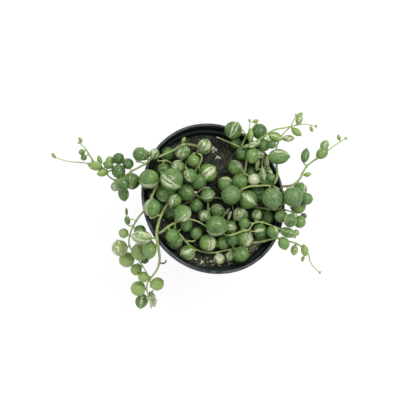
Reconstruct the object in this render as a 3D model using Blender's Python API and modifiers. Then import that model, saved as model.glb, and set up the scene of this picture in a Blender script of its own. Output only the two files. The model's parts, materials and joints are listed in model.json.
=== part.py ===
"""A variegated string of pearls growing in a small plastic nursery pot.

The origin is the centre of the pot's flat base, +Z is up and +X is the plant's long way.
Tables are in millimetres; MM turns them into Blender's metres.
"""
import math
from dataclasses import dataclass

import bmesh
import bpy
import numpy as np
from mathutils import Matrix, Vector

MM = 0.001
OBJECT_NAME = "potted_string_of_pearls"

# Pot: an 80 mm nursery pot whose soft mouth is pressed slightly oval.
POT_HEIGHT = 70.0
MOUTH_RADIUS = 40.0
BASE_RADIUS = 28.0
WALL = 1.1
LIP_HEIGHT = 1.8
LIP_WIDTH = 1.7
COLLAR_HEIGHT = 9.0
COLLAR_STEP = 0.7
MOUTH_LONG = 1.042
MOUTH_SHORT = 0.958
MOUTH_TURN = math.radians(-64.0)
POT_SEGMENTS = 40
DRAIN_COUNT = 8
DRAIN_RADIUS = 2.0
DRAIN_CIRCLE = 20.0

# Soil: fills the pot to just under the collar.
SOIL_TOP = 58.0
SOIL_DOME = 1.0

# Plant.
GAP = 0.3
CLEAR = 0.42
STEM_CLEAR = 0.5
STEM_RADIUS = 0.9
STEM_TIP = 0.4
PETIOLE_RADIUS = 0.42
NECK_CLEAR = 0.15
FOOT_CHOICES = 40
PATH_STEP = 1.0
TUBE_STRIDE = 4
STEM_STIFFNESS = 0.03
LEAF_HANG = 0.2
RISE_STEP = 0.2
NUDGES = ((0.0, 0.0),) + tuple(
    (reach * math.cos(turn * math.pi / 4.0), reach * math.sin(turn * math.pi / 4.0))
    for reach in (0.5, 1.0, 1.5) for turn in range(8))
NUDGE_COST = 1.5
OWN_NODE_FROM = 7.25
PEARL_SIDES = 8
SMALL_SIDES = 6


@dataclass(frozen=True)
class Leaf:
    """One leaf: a round pearl, or a spindle where its length and heading are given."""

    x: float
    y: float
    wide: float
    long: float = 0.0
    heading: float = 0.0
    lift: float = 0.0


@dataclass(frozen=True)
class Strand:
    """One stem's route over the bed and the leaves that it carries."""

    name: str
    route: tuple
    leaves: tuple


# Deepest strand first: each is laid over the ones before it.
STRANDS = (
    Strand("lower_arc", (
        (-13, -4, 59), (-18, -9, 60.5), (-20.5, -15, 61.5), (-16, -21, 61.5), (-10.5, -26.5, 61.5),
        (-7, -28, 61), (-1.5, -29, 61), (4.5, -28.5, 61.5), (9, -27.2, 62), (12.5, -27, 62.5)), (
        Leaf(-23, -7.5, 7.2), Leaf(-14.2, -14.5, 6.6), Leaf(-9, -18.4, 6.5), Leaf(-20, -23.5, 8.2),
        Leaf(-13.6, -29.6, 8.2), Leaf(-3, -24, 9.2), Leaf(4.5, -23.8, 7), Leaf(10.4, -22.8, 6),
        Leaf(3.8, -31, 5.8), Leaf(8.4, -31, 5.4), Leaf(15, -30.4, 8.6), Leaf(16.6, -22.4, 10))),
    Strand("heart", (
        (6, -12, 59), (1, -11, 60), (-2, -7, 61), (-2, -2, 62), (-7, 2, 62), (-12, 3, 62)), (
        Leaf(-9, -3.4, 7.2), Leaf(-4.5, -8.7, 6.4), Leaf(-14.8, 3, 9), Leaf(-2.9, 1.8, 7.6),
        Leaf(2.3, -6, 7.6), Leaf(8.3, -6.4, 1.7, 4.6, 51, 1), Leaf(9.4, -8.4, 1.8, 5, 72, 1),
        Leaf(11.6, -8.8, 1.8, 6.4, -86, 1))),
    Strand("right_bank", (
        (20, -3, 59), (27, -4, 60.5), (32, -5, 64), (36.5, -5.8, 70.5), (40.5, -7, 72.8),
        (44.5, -8.5, 71), (47, -10.5, 68.5)), (
        Leaf(25.2, 3.4, 8.7), Leaf(30.6, -9.4, 7.6), Leaf(36.4, -1.4, 5.5),
        Leaf(35.8, -10.2, 6.5), Leaf(45.2, -4.6, 8.8), Leaf(49.7, -9, 3.3),
        Leaf(46.4, -12.8, 6.4), Leaf(39.6, -13, 7))),
    Strand("left_second", (
        (-14, 13, 59), (-18, 16.5, 60.5), (-22.5, 19.5, 64), (-26.5, 20, 67.5), (-29.6, 19.2, 70.3)), (
        Leaf(-24.8, 23, 7), Leaf(-26.4, 16, 7))),
    Strand("lower_right_runner", (
        (22, -24, 60), (25.5, -23.5, 64), (29.5, -22.5, 68), (33, -21.8, 71.5), (36.5, -22.3, 72.5),
        (41, -23.5, 71.5), (45.5, -24.5, 70), (48.6, -26.4, 69), (52.4, -30, 66.5), (54.3, -34.5, 64),
        (59.4, -38.8, 61)), (
        Leaf(26.9, -20.8, 7, lift=-2), Leaf(36.6, -24.9, 5.8, 6.8, -75), Leaf(44.4, -27.8, 3.8, 5.6, -100),
        Leaf(49, -28.2, 3.8, 6, -85), Leaf(49.4, -32.2, 1.8, 3.2, -110))),
    Strand("lower_right", (
        (5, -16, 60), (6, -19.5, 62), (9.5, -20.5, 65), (13.5, -18.5, 67), (19.8, -16.5, 69),
        (21.7, -13.3, 70), (24.8, -13, 71), (29, -14.2, 71.5), (32.8, -15.7, 72), (37.5, -17.4, 72.5),
        (40.5, -18.6, 72), (43.5, -20.5, 70.5)), (
        Leaf(24.8, -17.2, 6.8, lift=-6), Leaf(9.5, -15.6, 7, lift=-5), Leaf(15.2, -8.2, 7.9, lift=-4),
        Leaf(16.3, -14.2, 5.7), Leaf(23.4, -9, 5.5), Leaf(31, -18.6, 6.3),
        Leaf(39, -18.6, 5.2, 8.8, -20, -1), Leaf(44.4, -18.4, 3.3),
        Leaf(23.4, -18.3, 2, 5, 8, 1))),
    Strand("upper_left", (
        (-7, 11, 59), (-9.5, 15.2, 62.5), (-8, 18.3, 65), (-6.3, 21, 66.5), (-7, 24.3, 67),
        (-10, 24.8, 67), (-13, 22.4, 66.5), (-14.8, 19, 66), (-16, 15.5, 66)), (
        Leaf(-9.3, 7.6, 8.2, lift=-3), Leaf(-4.8, 29, 8.4), Leaf(-16, 24, 8.2),
        Leaf(-11.1, 20, 6.5), Leaf(-3, 14.2, 9.8), Leaf(-13.6, 10.7, 7), Leaf(-19.4, 15.8, 7.6))),
    Strand("left_runner", (
        (-8, 27.5, 60), (-11, 28.4, 63), (-13, 28.6, 65), (-17, 27.8, 67), (-21.5, 25.2, 69.5),
        (-26.2, 23, 71.5), (-30, 21, 72.5), (-34.4, 19.6, 73), (-37.2, 16.8, 72.5),
        (-41, 15, 71), (-45.2, 12.8, 69), (-48, 10.9, 67.5), (-54, 9.6, 64.5),
        (-56.8, 12, 63.5), (-59.2, 15.2, 63), (-62.8, 17.4, 62.3), (-67, 18.6, 62),
        (-71.5, 19, 62), (-79.6, 19.6, 62.5), (-85, 21.2, 63.5)), (
        Leaf(-42.8, 9, 8.8, lift=-3), Leaf(-52.6, 6.4, 5, lift=-3), Leaf(-16.6, 29.8, 2, 3, 60),
        Leaf(-36.8, 21.8, 6.2, lift=-4), Leaf(-32.6, 21.6, 5.4), Leaf(-40.2, 21.8, 7.2, lift=-1),
        Leaf(-46.2, 17.6, 5.7), Leaf(-50.6, 20, 6, lift=-1), Leaf(-54.4, 20.4, 4.2, lift=1),
        Leaf(-56.6, 17, 4, 5.6, 160), Leaf(-50.2, 13, 7.2), Leaf(-49, 7.4, 7.2),
        Leaf(-48.6, 2.6, 5.6, 8, -80, -2), Leaf(-61.4, 20.6, 2.7, 5, 105),
        Leaf(-63.6, 16.6, 4.8, 7.6, 172), Leaf(-59.6, 13.4, 3.8, 6, 200), Leaf(-85.8, 21.8, 1.8, 3, 125))),
    Strand("left_side_tip", (
        (-65.2, 19.5, 62), (-67.2, 22.9, 62.8), (-69.6, 26.8, 64), (-72, 28.8, 65)), (
        Leaf(-70.2, 24.8, 3.2), Leaf(-69.8, 21.4, 3.2), Leaf(-72.6, 30.2, 1.8, 3, 120))),
    Strand("hanging_left", (
        (-20, 9, 60), (-25.5, 8.8, 65), (-29.3, 8.4, 69.5), (-31, 5.2, 70.5), (-33.2, 0.3, 71),
        (-35.9, -5.7, 72), (-37.6, -8.4, 72.5), (-40, -11.2, 71), (-42.6, -15, 65), (-44.2, -19, 57),
        (-44.6, -23.8, 50), (-42, -28.4, 45), (-39, -32, 42), (-36.6, -35.2, 41), (-33.2, -40.6, 40)), (
        Leaf(-28.6, -4.6, 6, lift=-8), Leaf(-26.4, 2.4, 10.4, lift=-7), Leaf(-23.4, 7.9, 11.8, lift=-1),
        Leaf(-35.2, 8.2, 10.4), Leaf(-40.2, -16.8, 6.2), Leaf(-47.8, -18.4, 5), Leaf(-49.2, -25.8, 9),
        Leaf(-44.6, -31.6, 8.4, lift=-1), Leaf(-38.8, -28, 9.2, lift=4), Leaf(-36.6, -32.4, 4.6),
        Leaf(-40.2, -37, 6.2), Leaf(-46, -12.6, 3, 4.8, 100), Leaf(-46.6, -8.4, 1.4, 4, 95))),
    Strand("trailer", (
        (-17, -3, 60), (-21, -3.2, 66), (-24.6, -4, 70), (-27.2, -7.6, 71), (-28.8, -11.4, 71.5),
        (-30, -15.4, 72.5), (-30.8, -21, 73.5), (-30.2, -25, 72), (-29.2, -29, 68),
        (-28.2, -34, 56), (-28.8, -37, 50), (-31.8, -41.6, 43.5), (-33.8, -44.8, 38),
        (-33.2, -50.2, 31), (-31.4, -54, 26)), (
        Leaf(-21.5, -3, 7, lift=-2), Leaf(-33.6, -7.2, 9), Leaf(-38.4, -22.2, 7, 10.8, 176),
        Leaf(-33.8, -28.8, 7.2, 9.6, -92), Leaf(-29.4, -44, 7.2), Leaf(-35.8, -41, 5.8),
        Leaf(-38, -48, 8.2), Leaf(-36.6, -54.4, 6.8, 7.8, -100), Leaf(-30.4, -50.8, 2.4, 4.5, -50),
        Leaf(-29.6, -54.4, 2, 4.2, -75))),
    Strand("junction", (
        (-28.8, -19.8, 73.6), (-27, -18.4, 73), (-23.4, -15.6, 72.5), (-20.9, -14.2, 72),
        (-16.8, -12.8, 71), (-13, -12, 70.5), (-9.8, -12.8, 70), (-6, -14.4, 69), (-2.6, -16.4, 67)), (
        Leaf(-22.4, -21.2, 7.3), Leaf(-17.4, -9.9, 9), Leaf(1.1, -15.6, 11.3))),
    Strand("cut_end", (
        (14.5, 10, 60), (17, 13.5, 66), (17.8, 18.8, 69), (17.4, 25.4, 70), (14.7, 27.9, 69.5),
        (8.9, 31.2, 67.5), (2.2, 34.4, 65.5)), (
        Leaf(21.8, 15.2, 7, lift=-5), Leaf(7.4, 8.6, 8.7), Leaf(12.5, 17.1, 8.4), Leaf(14.4, 9.2, 8.2),
        Leaf(15, 24, 6.8), Leaf(19.6, 21.8, 6.4, 8.6, -100), Leaf(20.4, 10.1, 6.5),
        Leaf(13.6, 31.8, 6.2, lift=-3))),
    Strand("pale_leaves", (
        (25, 13, 60), (26, 15.6, 64), (26.5, 18, 67), (27, 22, 69.5), (27.5, 26, 72)), (
        Leaf(26.7, 9, 6.2, lift=-2), Leaf(24.6, 19.5, 2.6, 7.5, 80), Leaf(29, 19, 2.6, 8, 95),
        Leaf(26, 12.4, 2.6, 7.5, -85), Leaf(29.6, 13.6, 2.4, 7, -70), Leaf(29.8, 10, 4),
        Leaf(27, 28.4, 6.2), Leaf(24, 24, 4.4, 6.5, 160))),
    Strand("right_top", (
        (10, 4, 62), (14, 3.8, 70), (17, 5.4, 73), (23.1, 6, 74), (28.4, 6, 74.5), (31.7, 5.7, 74.5),
        (34.9, 4.4, 74.5), (37.6, 3.3, 74.5), (41.5, 1.5, 73.5), (45, -0.5, 72)), (
        Leaf(8.8, 1.2, 10.2), Leaf(17.6, 0.2, 9.7), Leaf(30.1, -1, 10.7), Leaf(40.2, -0.5, 10.4),
        Leaf(46.8, 3.4, 7.6), Leaf(48.4, 0.2, 6.2, lift=-3))),
    Strand("right_runner", (
        (36.4, 5.6, 73), (41.5, 6.6, 75), (44.8, 8.6, 76.5), (47, 12.5, 77), (48.3, 15.1, 77.5),
        (50.8, 18.1, 78), (54.3, 20.4, 79), (60.4, 25, 80.5), (65.6, 28.8, 81.5), (69.4, 31.2, 82.5)), (
        Leaf(48.8, 22.6, 4.4, 7.6, 80), Leaf(56.5, 22.8, 5.4, 7, 40), Leaf(59, 28.2, 4.4, 5.4, 60),
        Leaf(67.2, 31.4, 2, 3.3, 110), Leaf(50, 12.4, 2.5, 3.8, 10))),
    Strand("right_upright", (
        (31.9, 8, 74.8), (32.4, 10.4, 75), (33.4, 13.9, 75), (33, 16.7, 75), (32.9, 25, 76.5),
        (33.8, 29.1, 77.5), (36.8, 34.4, 79), (39.3, 36.6, 80), (42.8, 43, 82)), (
        Leaf(33.2, 20.8, 8, 11.2, 0), Leaf(31.8, 31.6, 5.2, 7.4, 165), Leaf(38.4, 31.8, 3.6, 6.4, 0),
        Leaf(44.8, 44, 2.4, 3.4, 40))),
    Strand("top_cluster", (
        (15.5, 29, 60), (16.5, 31.5, 67), (17.5, 33.5, 72.5), (18.4, 35.5, 75.5), (18.6, 38, 76.7),
        (18.4, 40.5, 77.5)), (
        Leaf(9.9, 36.2, 9.3), Leaf(24.4, 36, 8.1), Leaf(19.5, 33.4, 3.2, 7, 88, 1.5),
        Leaf(21.8, 41, 2, 3.2, 15))),
    Strand("top_right_arc", (
        (15.4, 26.4, 73), (19.9, 28.6, 75), (24.9, 31.2, 77), (28.9, 34, 78.5), (33.6, 36, 80.5),
        (38.4, 36.8, 82), (43.5, 38.2, 83), (48, 38.6, 83), (52.8, 37.8, 83)), (
        Leaf(43.8, 40.4, 3.6, 5.2, 75), Leaf(42, 35.6, 3.6, 6.2, -40), Leaf(51.2, 36, 1.8, 3, -70),
        Leaf(30.5, 28.2, 4.4), Leaf(20, 26.6, 3.2, 6.5, 20))),
)


def pot_radius(height):
    """Outer radius of the tapered wall at a height, before the mouth is pressed oval."""
    return BASE_RADIUS + (MOUTH_RADIUS - COLLAR_STEP - BASE_RADIUS) * height / POT_HEIGHT


def oval(radius, angle):
    """The plan point at an angle on the pot's oval of a mean radius."""
    along = radius * MOUTH_LONG * math.cos(angle)
    across = radius * MOUTH_SHORT * math.sin(angle)
    cos_turn, sin_turn = math.cos(MOUTH_TURN), math.sin(MOUTH_TURN)
    return along * cos_turn - across * sin_turn, along * sin_turn + across * cos_turn


def inside_mouth(x, y):
    """Whether a plan point lies over the soil."""
    cos_turn, sin_turn = math.cos(MOUTH_TURN), math.sin(MOUTH_TURN)
    along = (x * cos_turn + y * sin_turn) / MOUTH_LONG
    across = (y * cos_turn - x * sin_turn) / MOUTH_SHORT
    return math.hypot(along, across) < MOUTH_RADIUS


def wall_spheres():
    """Small spheres along the lip and the wall over the soil, which nothing may enter."""
    rows = []
    bead = 0.5 * LIP_WIDTH
    for level in np.arange(SOIL_TOP, POT_HEIGHT, 1.0):
        height = min(level + 1.0, POT_HEIGHT) - bead
        middle = MOUTH_RADIUS - bead if height > POT_HEIGHT - COLLAR_HEIGHT else pot_radius(height) - bead
        for angle in np.linspace(0.0, 2.0 * math.pi, 200, endpoint=False):
            x, y = oval(middle, angle)
            rows.append((x, y, height, bead))
    return np.array(rows)


class Bed:
    """The room that is taken, as spheres of x, y, z and radius, with the stem each belongs to."""

    def __init__(self):
        self.spheres = wall_spheres()
        self.owner = np.full(len(self.spheres), -1)

    def add(self, rows, owner=-1):
        """Take up the room of more spheres."""
        self.spheres = np.vstack((self.spheres, rows))
        self.owner = np.concatenate((self.owner, np.full(len(rows), owner)))

    def room(self, rows, ignore=None):
        """The smallest distance between these spheres and what is there."""
        taken = self.spheres if ignore is None else self.spheres[self.owner != ignore]
        away = rows[:, None, :3] - taken[None, :, :3]
        return float((np.linalg.norm(away, axis=2) - rows[:, None, 3] - taken[None, :, 3]).min())

    def over(self, x, y, reach):
        """The lowest height at which a ball of this reach passes over everything here."""
        across = np.hypot(self.spheres[:, 0] - x, self.spheres[:, 1] - y)
        sum_reach = self.spheres[:, 3] + reach
        under = across < sum_reach
        if not under.any():
            return 0.0
        rise = np.sqrt(sum_reach[under] ** 2 - across[under] ** 2)
        return float((self.spheres[under, 2] + rise).max())

    def settle(self, rows):
        """The small move after which these spheres clear everything: little rise, and less aside."""
        best, best_cost = None, math.inf
        for aside in NUDGES:
            rise = 0.0
            cost = NUDGE_COST * math.hypot(*aside)
            while cost + rise < best_cost and self.room(rows + (*aside, rise, 0.0)) < CLEAR:
                rise += RISE_STEP
            if cost + rise < best_cost:
                best, best_cost = (*aside, rise), cost + rise
        return Vector(best)


def ground(x, y):
    """Height of the soil or of the surface that the pot stands on."""
    return SOIL_TOP + SOIL_DOME if inside_mouth(x, y) else 0.0


def smooth_path(route, step):
    """Points about a step apart along a smooth curve through the route's points."""
    points = [np.array(point, float) for point in route]
    chords = [np.linalg.norm(b - a) for a, b in zip(points, points[1:])]
    slopes = [(points[1] - points[0]) / chords[0]]
    for before, here, after, left, right in zip(points, points[1:], points[2:], chords, chords[1:]):
        slopes.append(((here - before) / left * right + (after - here) / right * left) / (left + right))
    slopes.append((points[-1] - points[-2]) / chords[-1])
    path = [points[0]]
    for start, end, leave, arrive, chord in zip(points, points[1:], slopes, slopes[1:], chords):
        count = max(1, round(chord / step))
        for index in range(1, count + 1):
            t = index / count
            path.append((2 * t ** 3 - 3 * t ** 2 + 1) * start + (3 * t ** 2 - 2 * t ** 3) * end
                        + chord * ((t ** 3 - 2 * t ** 2 + t) * leave + (t ** 3 - t ** 2) * arrive))
    return np.array(path)


def lay_stem(strand, bed):
    """The stem's path, raised over what lies under it, in its tube's straight runs.

    The fourth column is the radius.
    """
    path = smooth_path(strand.route, PATH_STEP)
    radius = np.linspace(STEM_RADIUS, STEM_TIP, len(path))
    for point, thick in zip(path, radius):
        lowest = ground(point[0], point[1]) + thick + GAP
        point[2] = max(point[2], lowest, bed.over(point[0], point[1], thick + STEM_CLEAR))
    for _ in range(200):
        bridge = 0.5 * (path[:-2, 2] + path[2:, 2]) - STEM_STIFFNESS
        path[1:-1, 2] = np.maximum(path[1:-1, 2], bridge)
    stem = np.column_stack((path, radius))
    for start in range(0, len(stem) - 1, TUBE_STRIDE):
        end = min(start + TUBE_STRIDE, len(stem) - 1)
        stem[start:end + 1] = np.linspace(stem[start], stem[end], end - start + 1)
    return stem


@dataclass
class PlacedLeaf:
    """A leaf where it came to rest: its centre, its axis from base to tip, and its petiole's foot."""

    leaf: Leaf
    centre: Vector
    axis: Vector
    foot: Vector
    foot_radius: float

    @property
    def half(self):
        """Half of the leaf's length."""
        return 0.5 * (self.leaf.long or self.leaf.wide)

    @property
    def base(self):
        """Where the blade ends and its petiole begins."""
        return self.centre - self.axis * self.half


def leaf_spheres(leaf, centre, axis):
    """Spheres that fill the leaf."""
    if not leaf.long:
        return np.array([(*centre, 0.5 * leaf.wide)])
    rows = []
    for share in (-0.8, -0.4, 0.0, 0.4, 0.8):
        thick = 0.5 * leaf.wide * (1.0 - 0.62 * abs(share) ** 2)
        reach = share * (0.5 * leaf.long - 0.25 * leaf.wide)
        rows.append((*(centre + axis * reach), thick))
    return np.array(rows)


def petiole_spheres(foot, base, foot_radius):
    """Spheres along a petiole, from just off the stem to just off the leaf."""
    run = base - foot
    count = max(2, int(run.length / 0.5))
    rows = []
    for index in range(count + 1):
        along = run.length * index / count
        if foot_radius + 0.5 < along < run.length - 0.3:
            rows.append((*(foot + run * (along / run.length)), PETIOLE_RADIUS))
    return np.array(rows) if rows else None


def place_leaf(leaf, stem, bed, owner):
    """Settle one leaf by its stem and find where its petiole starts."""
    plan = np.hypot(stem[:, 0] - leaf.x, stem[:, 1] - leaf.y)
    near = stem[int(plan.argmin())]
    half_height = 0.5 * leaf.wide
    height = max(near[2] + leaf.lift - LEAF_HANG * leaf.wide, ground(leaf.x, leaf.y) + half_height + GAP)
    centre = Vector((leaf.x, leaf.y, height))
    heading = math.radians(leaf.heading)
    axis = Vector((math.cos(heading), math.sin(heading), 0.18)).normalized()
    centre += bed.settle(leaf_spheres(leaf, centre, axis))
    body = leaf_spheres(leaf, centre, axis)
    base = centre - axis * (0.5 * leaf.long) if leaf.long else centre
    order = np.argsort(np.linalg.norm(stem[:, :3] - np.array(base), axis=1))
    for index in order[:FOOT_CHOICES]:
        foot = Vector(stem[index, :3])
        end = base if leaf.long else centre + (foot - centre).normalized() * half_height
        neck = petiole_spheres(foot, end, stem[index, 3])
        if neck is None or bed.room(neck, ignore=owner) > NECK_CLEAR:
            break
    if not leaf.long:
        axis = (centre - foot).normalized()
    bed.add(body)
    if neck is not None:
        bed.add(neck)
    return PlacedLeaf(leaf, centre, axis, foot, float(stem[index, 3]))


def lay_out():
    """Lay every strand in order: its name, its stem path and its placed leaves."""
    bed = Bed()
    laid = []
    for number, strand in enumerate(STRANDS):
        stem = lay_stem(strand, bed)
        rows = stem.copy()
        rows[:, 3] += 0.05
        bed.add(rows, owner=number)
        leaves = [place_leaf(leaf, stem, bed, number) for leaf in strand.leaves]
        laid.append((strand.name, stem, leaves))
    return laid


def new_collection(name):
    """A collection linked to the scene."""
    collection = bpy.data.collections.new(name)
    bpy.context.scene.collection.children.link(collection)
    return collection


def principled(name, colour, roughness):
    """A non-metal material of one colour."""
    material = bpy.data.materials.new(name)
    material.use_nodes = True
    shader = material.node_tree.nodes["Principled BSDF"]
    shader.inputs["Base Color"].default_value = (*colour, 1.0)
    shader.inputs["Roughness"].default_value = roughness
    shader.inputs["Metallic"].default_value = 0.0
    return material


def mesh_object(name, mesh, collection, material=None):
    """An object of a mesh in a collection."""
    thing = bpy.data.objects.new(name, mesh)
    collection.objects.link(thing)
    if material:
        mesh.materials.append(material)
    return thing


def turned(name, profile, sides, collection, material=None):
    """A solid turned about Z from a profile of radius and height that runs from its top down."""
    mesh = bpy.data.meshes.new(name)
    rows = [(radius * MM, 0.0, height * MM) for radius, height in profile]
    mesh.from_pydata(rows, [(index, index + 1) for index in range(len(rows) - 1)], [])
    thing = mesh_object(name, mesh, collection, material)
    screw = thing.modifiers.new("turn", 'SCREW')
    screw.steps = sides
    screw.render_steps = sides
    screw.use_merge_vertices = True
    screw.merge_threshold = 0.00002
    screw.use_smooth_shade = True
    return thing


def press_oval(thing):
    """Turn and press a round solid to the oval of the pot's mouth."""
    thing.rotation_euler.z = MOUTH_TURN
    thing.scale = (MOUTH_LONG, MOUTH_SHORT, 1.0)


def build_pot(collection, cutters):
    """The tapered pot with its collar, lip and drain holes."""
    inner_mouth = MOUTH_RADIUS - LIP_WIDTH
    collar_foot = POT_HEIGHT - COLLAR_HEIGHT
    profile = (
        (0.0, WALL), (BASE_RADIUS - WALL - 0.8, WALL), (pot_radius(2.5) - WALL, 2.5),
        (pot_radius(collar_foot) - WALL, collar_foot), (inner_mouth, collar_foot + 1.5),
        (inner_mouth, POT_HEIGHT - 0.5), (inner_mouth + 0.4, POT_HEIGHT),
        (MOUTH_RADIUS - 0.4, POT_HEIGHT), (MOUTH_RADIUS, POT_HEIGHT - 0.5),
        (MOUTH_RADIUS, POT_HEIGHT - LIP_HEIGHT), (MOUTH_RADIUS - 0.5, POT_HEIGHT - LIP_HEIGHT - 0.3),
        (MOUTH_RADIUS - 0.5, collar_foot), (pot_radius(collar_foot), collar_foot - 0.4),
        (pot_radius(2.0), 2.0), (BASE_RADIUS - 0.3, 0.6), (BASE_RADIUS - 1.2, 0.0), (0.0, 0.0))
    pot = turned("pot", profile, POT_SEGMENTS, collection, principled("black_plastic", (0.012, 0.014, 0.018), 0.4))
    press_oval(pot)
    for index in range(DRAIN_COUNT):
        angle = 2.0 * math.pi * (index + 0.5) / DRAIN_COUNT
        bpy.ops.mesh.primitive_cylinder_add(
            vertices=12, radius=DRAIN_RADIUS * MM, depth=4.0 * WALL * MM,
            location=(DRAIN_CIRCLE * math.cos(angle) * MM, DRAIN_CIRCLE * math.sin(angle) * MM, 0.5 * WALL * MM))
        cutter = bpy.context.object
        cutter.name = f"drain_{index + 1}"
        as_cutter(cutter, cutters)
        cut = pot.modifiers.new(cutter.name, 'BOOLEAN')
        cut.object = cutter
        cut.solver = 'EXACT'


def as_cutter(thing, cutters):
    """Keep a helper out of the model: in the cutters' collection and drawn as wires."""
    for collection in thing.users_collection:
        collection.objects.unlink(thing)
    cutters.objects.link(thing)
    thing.hide_render = True
    thing.display_type = 'WIRE'


def build_soil(collection):
    """The potting mix: it stands clear of the wall by the gap and is slightly domed."""
    edge = pot_radius(SOIL_TOP) - WALL - GAP
    profile = ((0.0, SOIL_TOP + SOIL_DOME), (0.55 * edge, SOIL_TOP + 0.7 * SOIL_DOME), (edge, SOIL_TOP),
               (pot_radius(3.0) - WALL - GAP, 3.0), (BASE_RADIUS - WALL - 1.4, WALL + GAP), (0.0, WALL + GAP))
    soil = turned("soil", profile, POT_SEGMENTS, collection, principled("potting_mix", (0.035, 0.022, 0.015), 0.95))
    press_oval(soil)


def leaf_profile(placed, joined):
    """Radius and height along a leaf's axis from its tip down to its base, with a round pearl's neck."""
    leaf = placed.leaf
    half, thick = placed.half, 0.5 * leaf.wide
    rings = 6 if not leaf.long else 5
    rows = [(0.0, half)]
    for ring in range(1, rings):
        angle = math.pi * ring / rings
        squeeze = math.sin(angle) ** (1.0 if not leaf.long else 1.35)
        rows.append((thick * squeeze, half * math.cos(angle)))
    if leaf.long:
        return rows + [(0.0, -half)]
    reach = (placed.centre - placed.foot).length
    end = reach if joined else reach - placed.foot_radius - GAP - 0.08
    neck = PETIOLE_RADIUS
    if end < half + 0.25:
        return rows + [(0.0, -min(end, half))]
    return rows + [(neck, -0.985 * half), (neck, -end), (0.0, -end)]


def build_leaf(name, placed, collection, material, joined):
    """One leaf solid, standing on its axis."""
    sides = SMALL_SIDES if joined else PEARL_SIDES
    thing = turned(name, leaf_profile(placed, joined), sides, collection, material)
    thing.matrix_world = Matrix.LocRotScale(placed.centre * MM, placed.axis.to_track_quat('Z', 'Y'), None)
    return thing


def tube(name, points, collection, material=None):
    """A tube through points of x, y, z and radius, as a welded mesh."""
    curve = bpy.data.curves.new(name, 'CURVE')
    curve.dimensions = '3D'
    curve.bevel_depth = MM
    curve.bevel_resolution = 1
    curve.use_fill_caps = True
    spline = curve.splines.new('POLY')
    spline.points.add(len(points) - 1)
    for knot, (x, y, z, radius) in zip(spline.points, points):
        knot.co = (x * MM, y * MM, z * MM, 1.0)
        knot.radius = radius
    guide = bpy.data.objects.new(name + "_curve", curve)
    collection.objects.link(guide)
    bpy.context.view_layer.update()
    evaluated = guide.evaluated_get(bpy.context.evaluated_depsgraph_get())
    mesh = bpy.data.meshes.new_from_object(evaluated)
    mesh.name = name
    shape = bmesh.new()
    shape.from_mesh(mesh)
    bmesh.ops.remove_doubles(shape, verts=shape.verts, dist=0.00001)
    bmesh.ops.recalc_face_normals(shape, faces=shape.faces)
    shape.to_mesh(mesh)
    shape.free()
    mesh.shade_smooth()
    bpy.data.objects.remove(guide)
    return mesh_object(name, mesh, collection, material)


def build_strand(name, stem, leaves, collection, cutters, materials):
    """One strand: big pearls as nodes of their own, and the rest joined to the stem."""
    keep = list(range(0, len(stem) - 1, TUBE_STRIDE)) + [len(stem) - 1]
    stem_object = tube(name + "_stem", stem[keep], collection, materials["stem"])
    small = bpy.data.collections.new(name + "_small_leaves")
    cutters.children.link(small)
    pearl_number = 0
    for index, placed in enumerate(leaves):
        joined = bool(placed.leaf.long) or placed.leaf.wide < OWN_NODE_FROM
        if not joined:
            pearl_number += 1
            build_leaf(f"{name}_pearl_{pearl_number}", placed, collection, materials["pearl"], False)
            continue
        as_cutter(build_leaf(f"{name}_leaf_{index}", placed, small, None, True), small)
        if placed.leaf.long:
            inner = placed.base + placed.axis * 0.25 * placed.leaf.wide
            rows = [(*placed.foot, PETIOLE_RADIUS), (*placed.base, PETIOLE_RADIUS), (*inner, PETIOLE_RADIUS)]
            as_cutter(tube(f"{name}_petiole_{index}", rows, small), small)
    if small.objects:
        union = stem_object.modifiers.new("small_leaves", 'BOOLEAN')
        union.operation = 'UNION'
        union.operand_type = 'COLLECTION'
        union.collection = small
        union.solver = 'EXACT'


def main():
    """Clear the scene and build the pot, the soil and every strand."""
    for thing in list(bpy.data.objects):
        bpy.data.objects.remove(thing)
    model = new_collection(OBJECT_NAME)
    cutters = new_collection("cutters")
    build_pot(model, cutters)
    build_soil(model)
    materials = {"stem": principled("young_stem", (0.28, 0.36, 0.12), 0.5),
                 "pearl": principled("pearl_leaf", (0.10, 0.26, 0.07), 0.35)}
    for name, stem, leaves in lay_out():
        build_strand(name, stem, leaves, model, cutters, materials)


main()
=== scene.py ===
"""The finished look of a variegated string of pearls in its small nursery pot.

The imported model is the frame. The plant is laid again here by the same table and rules that
laid its solids, so each finished stem and leaf lies where its solid does. Tables are in
millimetres, and MM turns them into metres.
"""
from __future__ import annotations

import json
import logging
import math
import random
from contextlib import contextmanager
from dataclasses import dataclass
from enum import Enum
from typing import Callable, Iterator, Optional, Sequence, Union

import bmesh
import bpy
import numpy as np
from mathutils import Matrix, Vector

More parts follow.
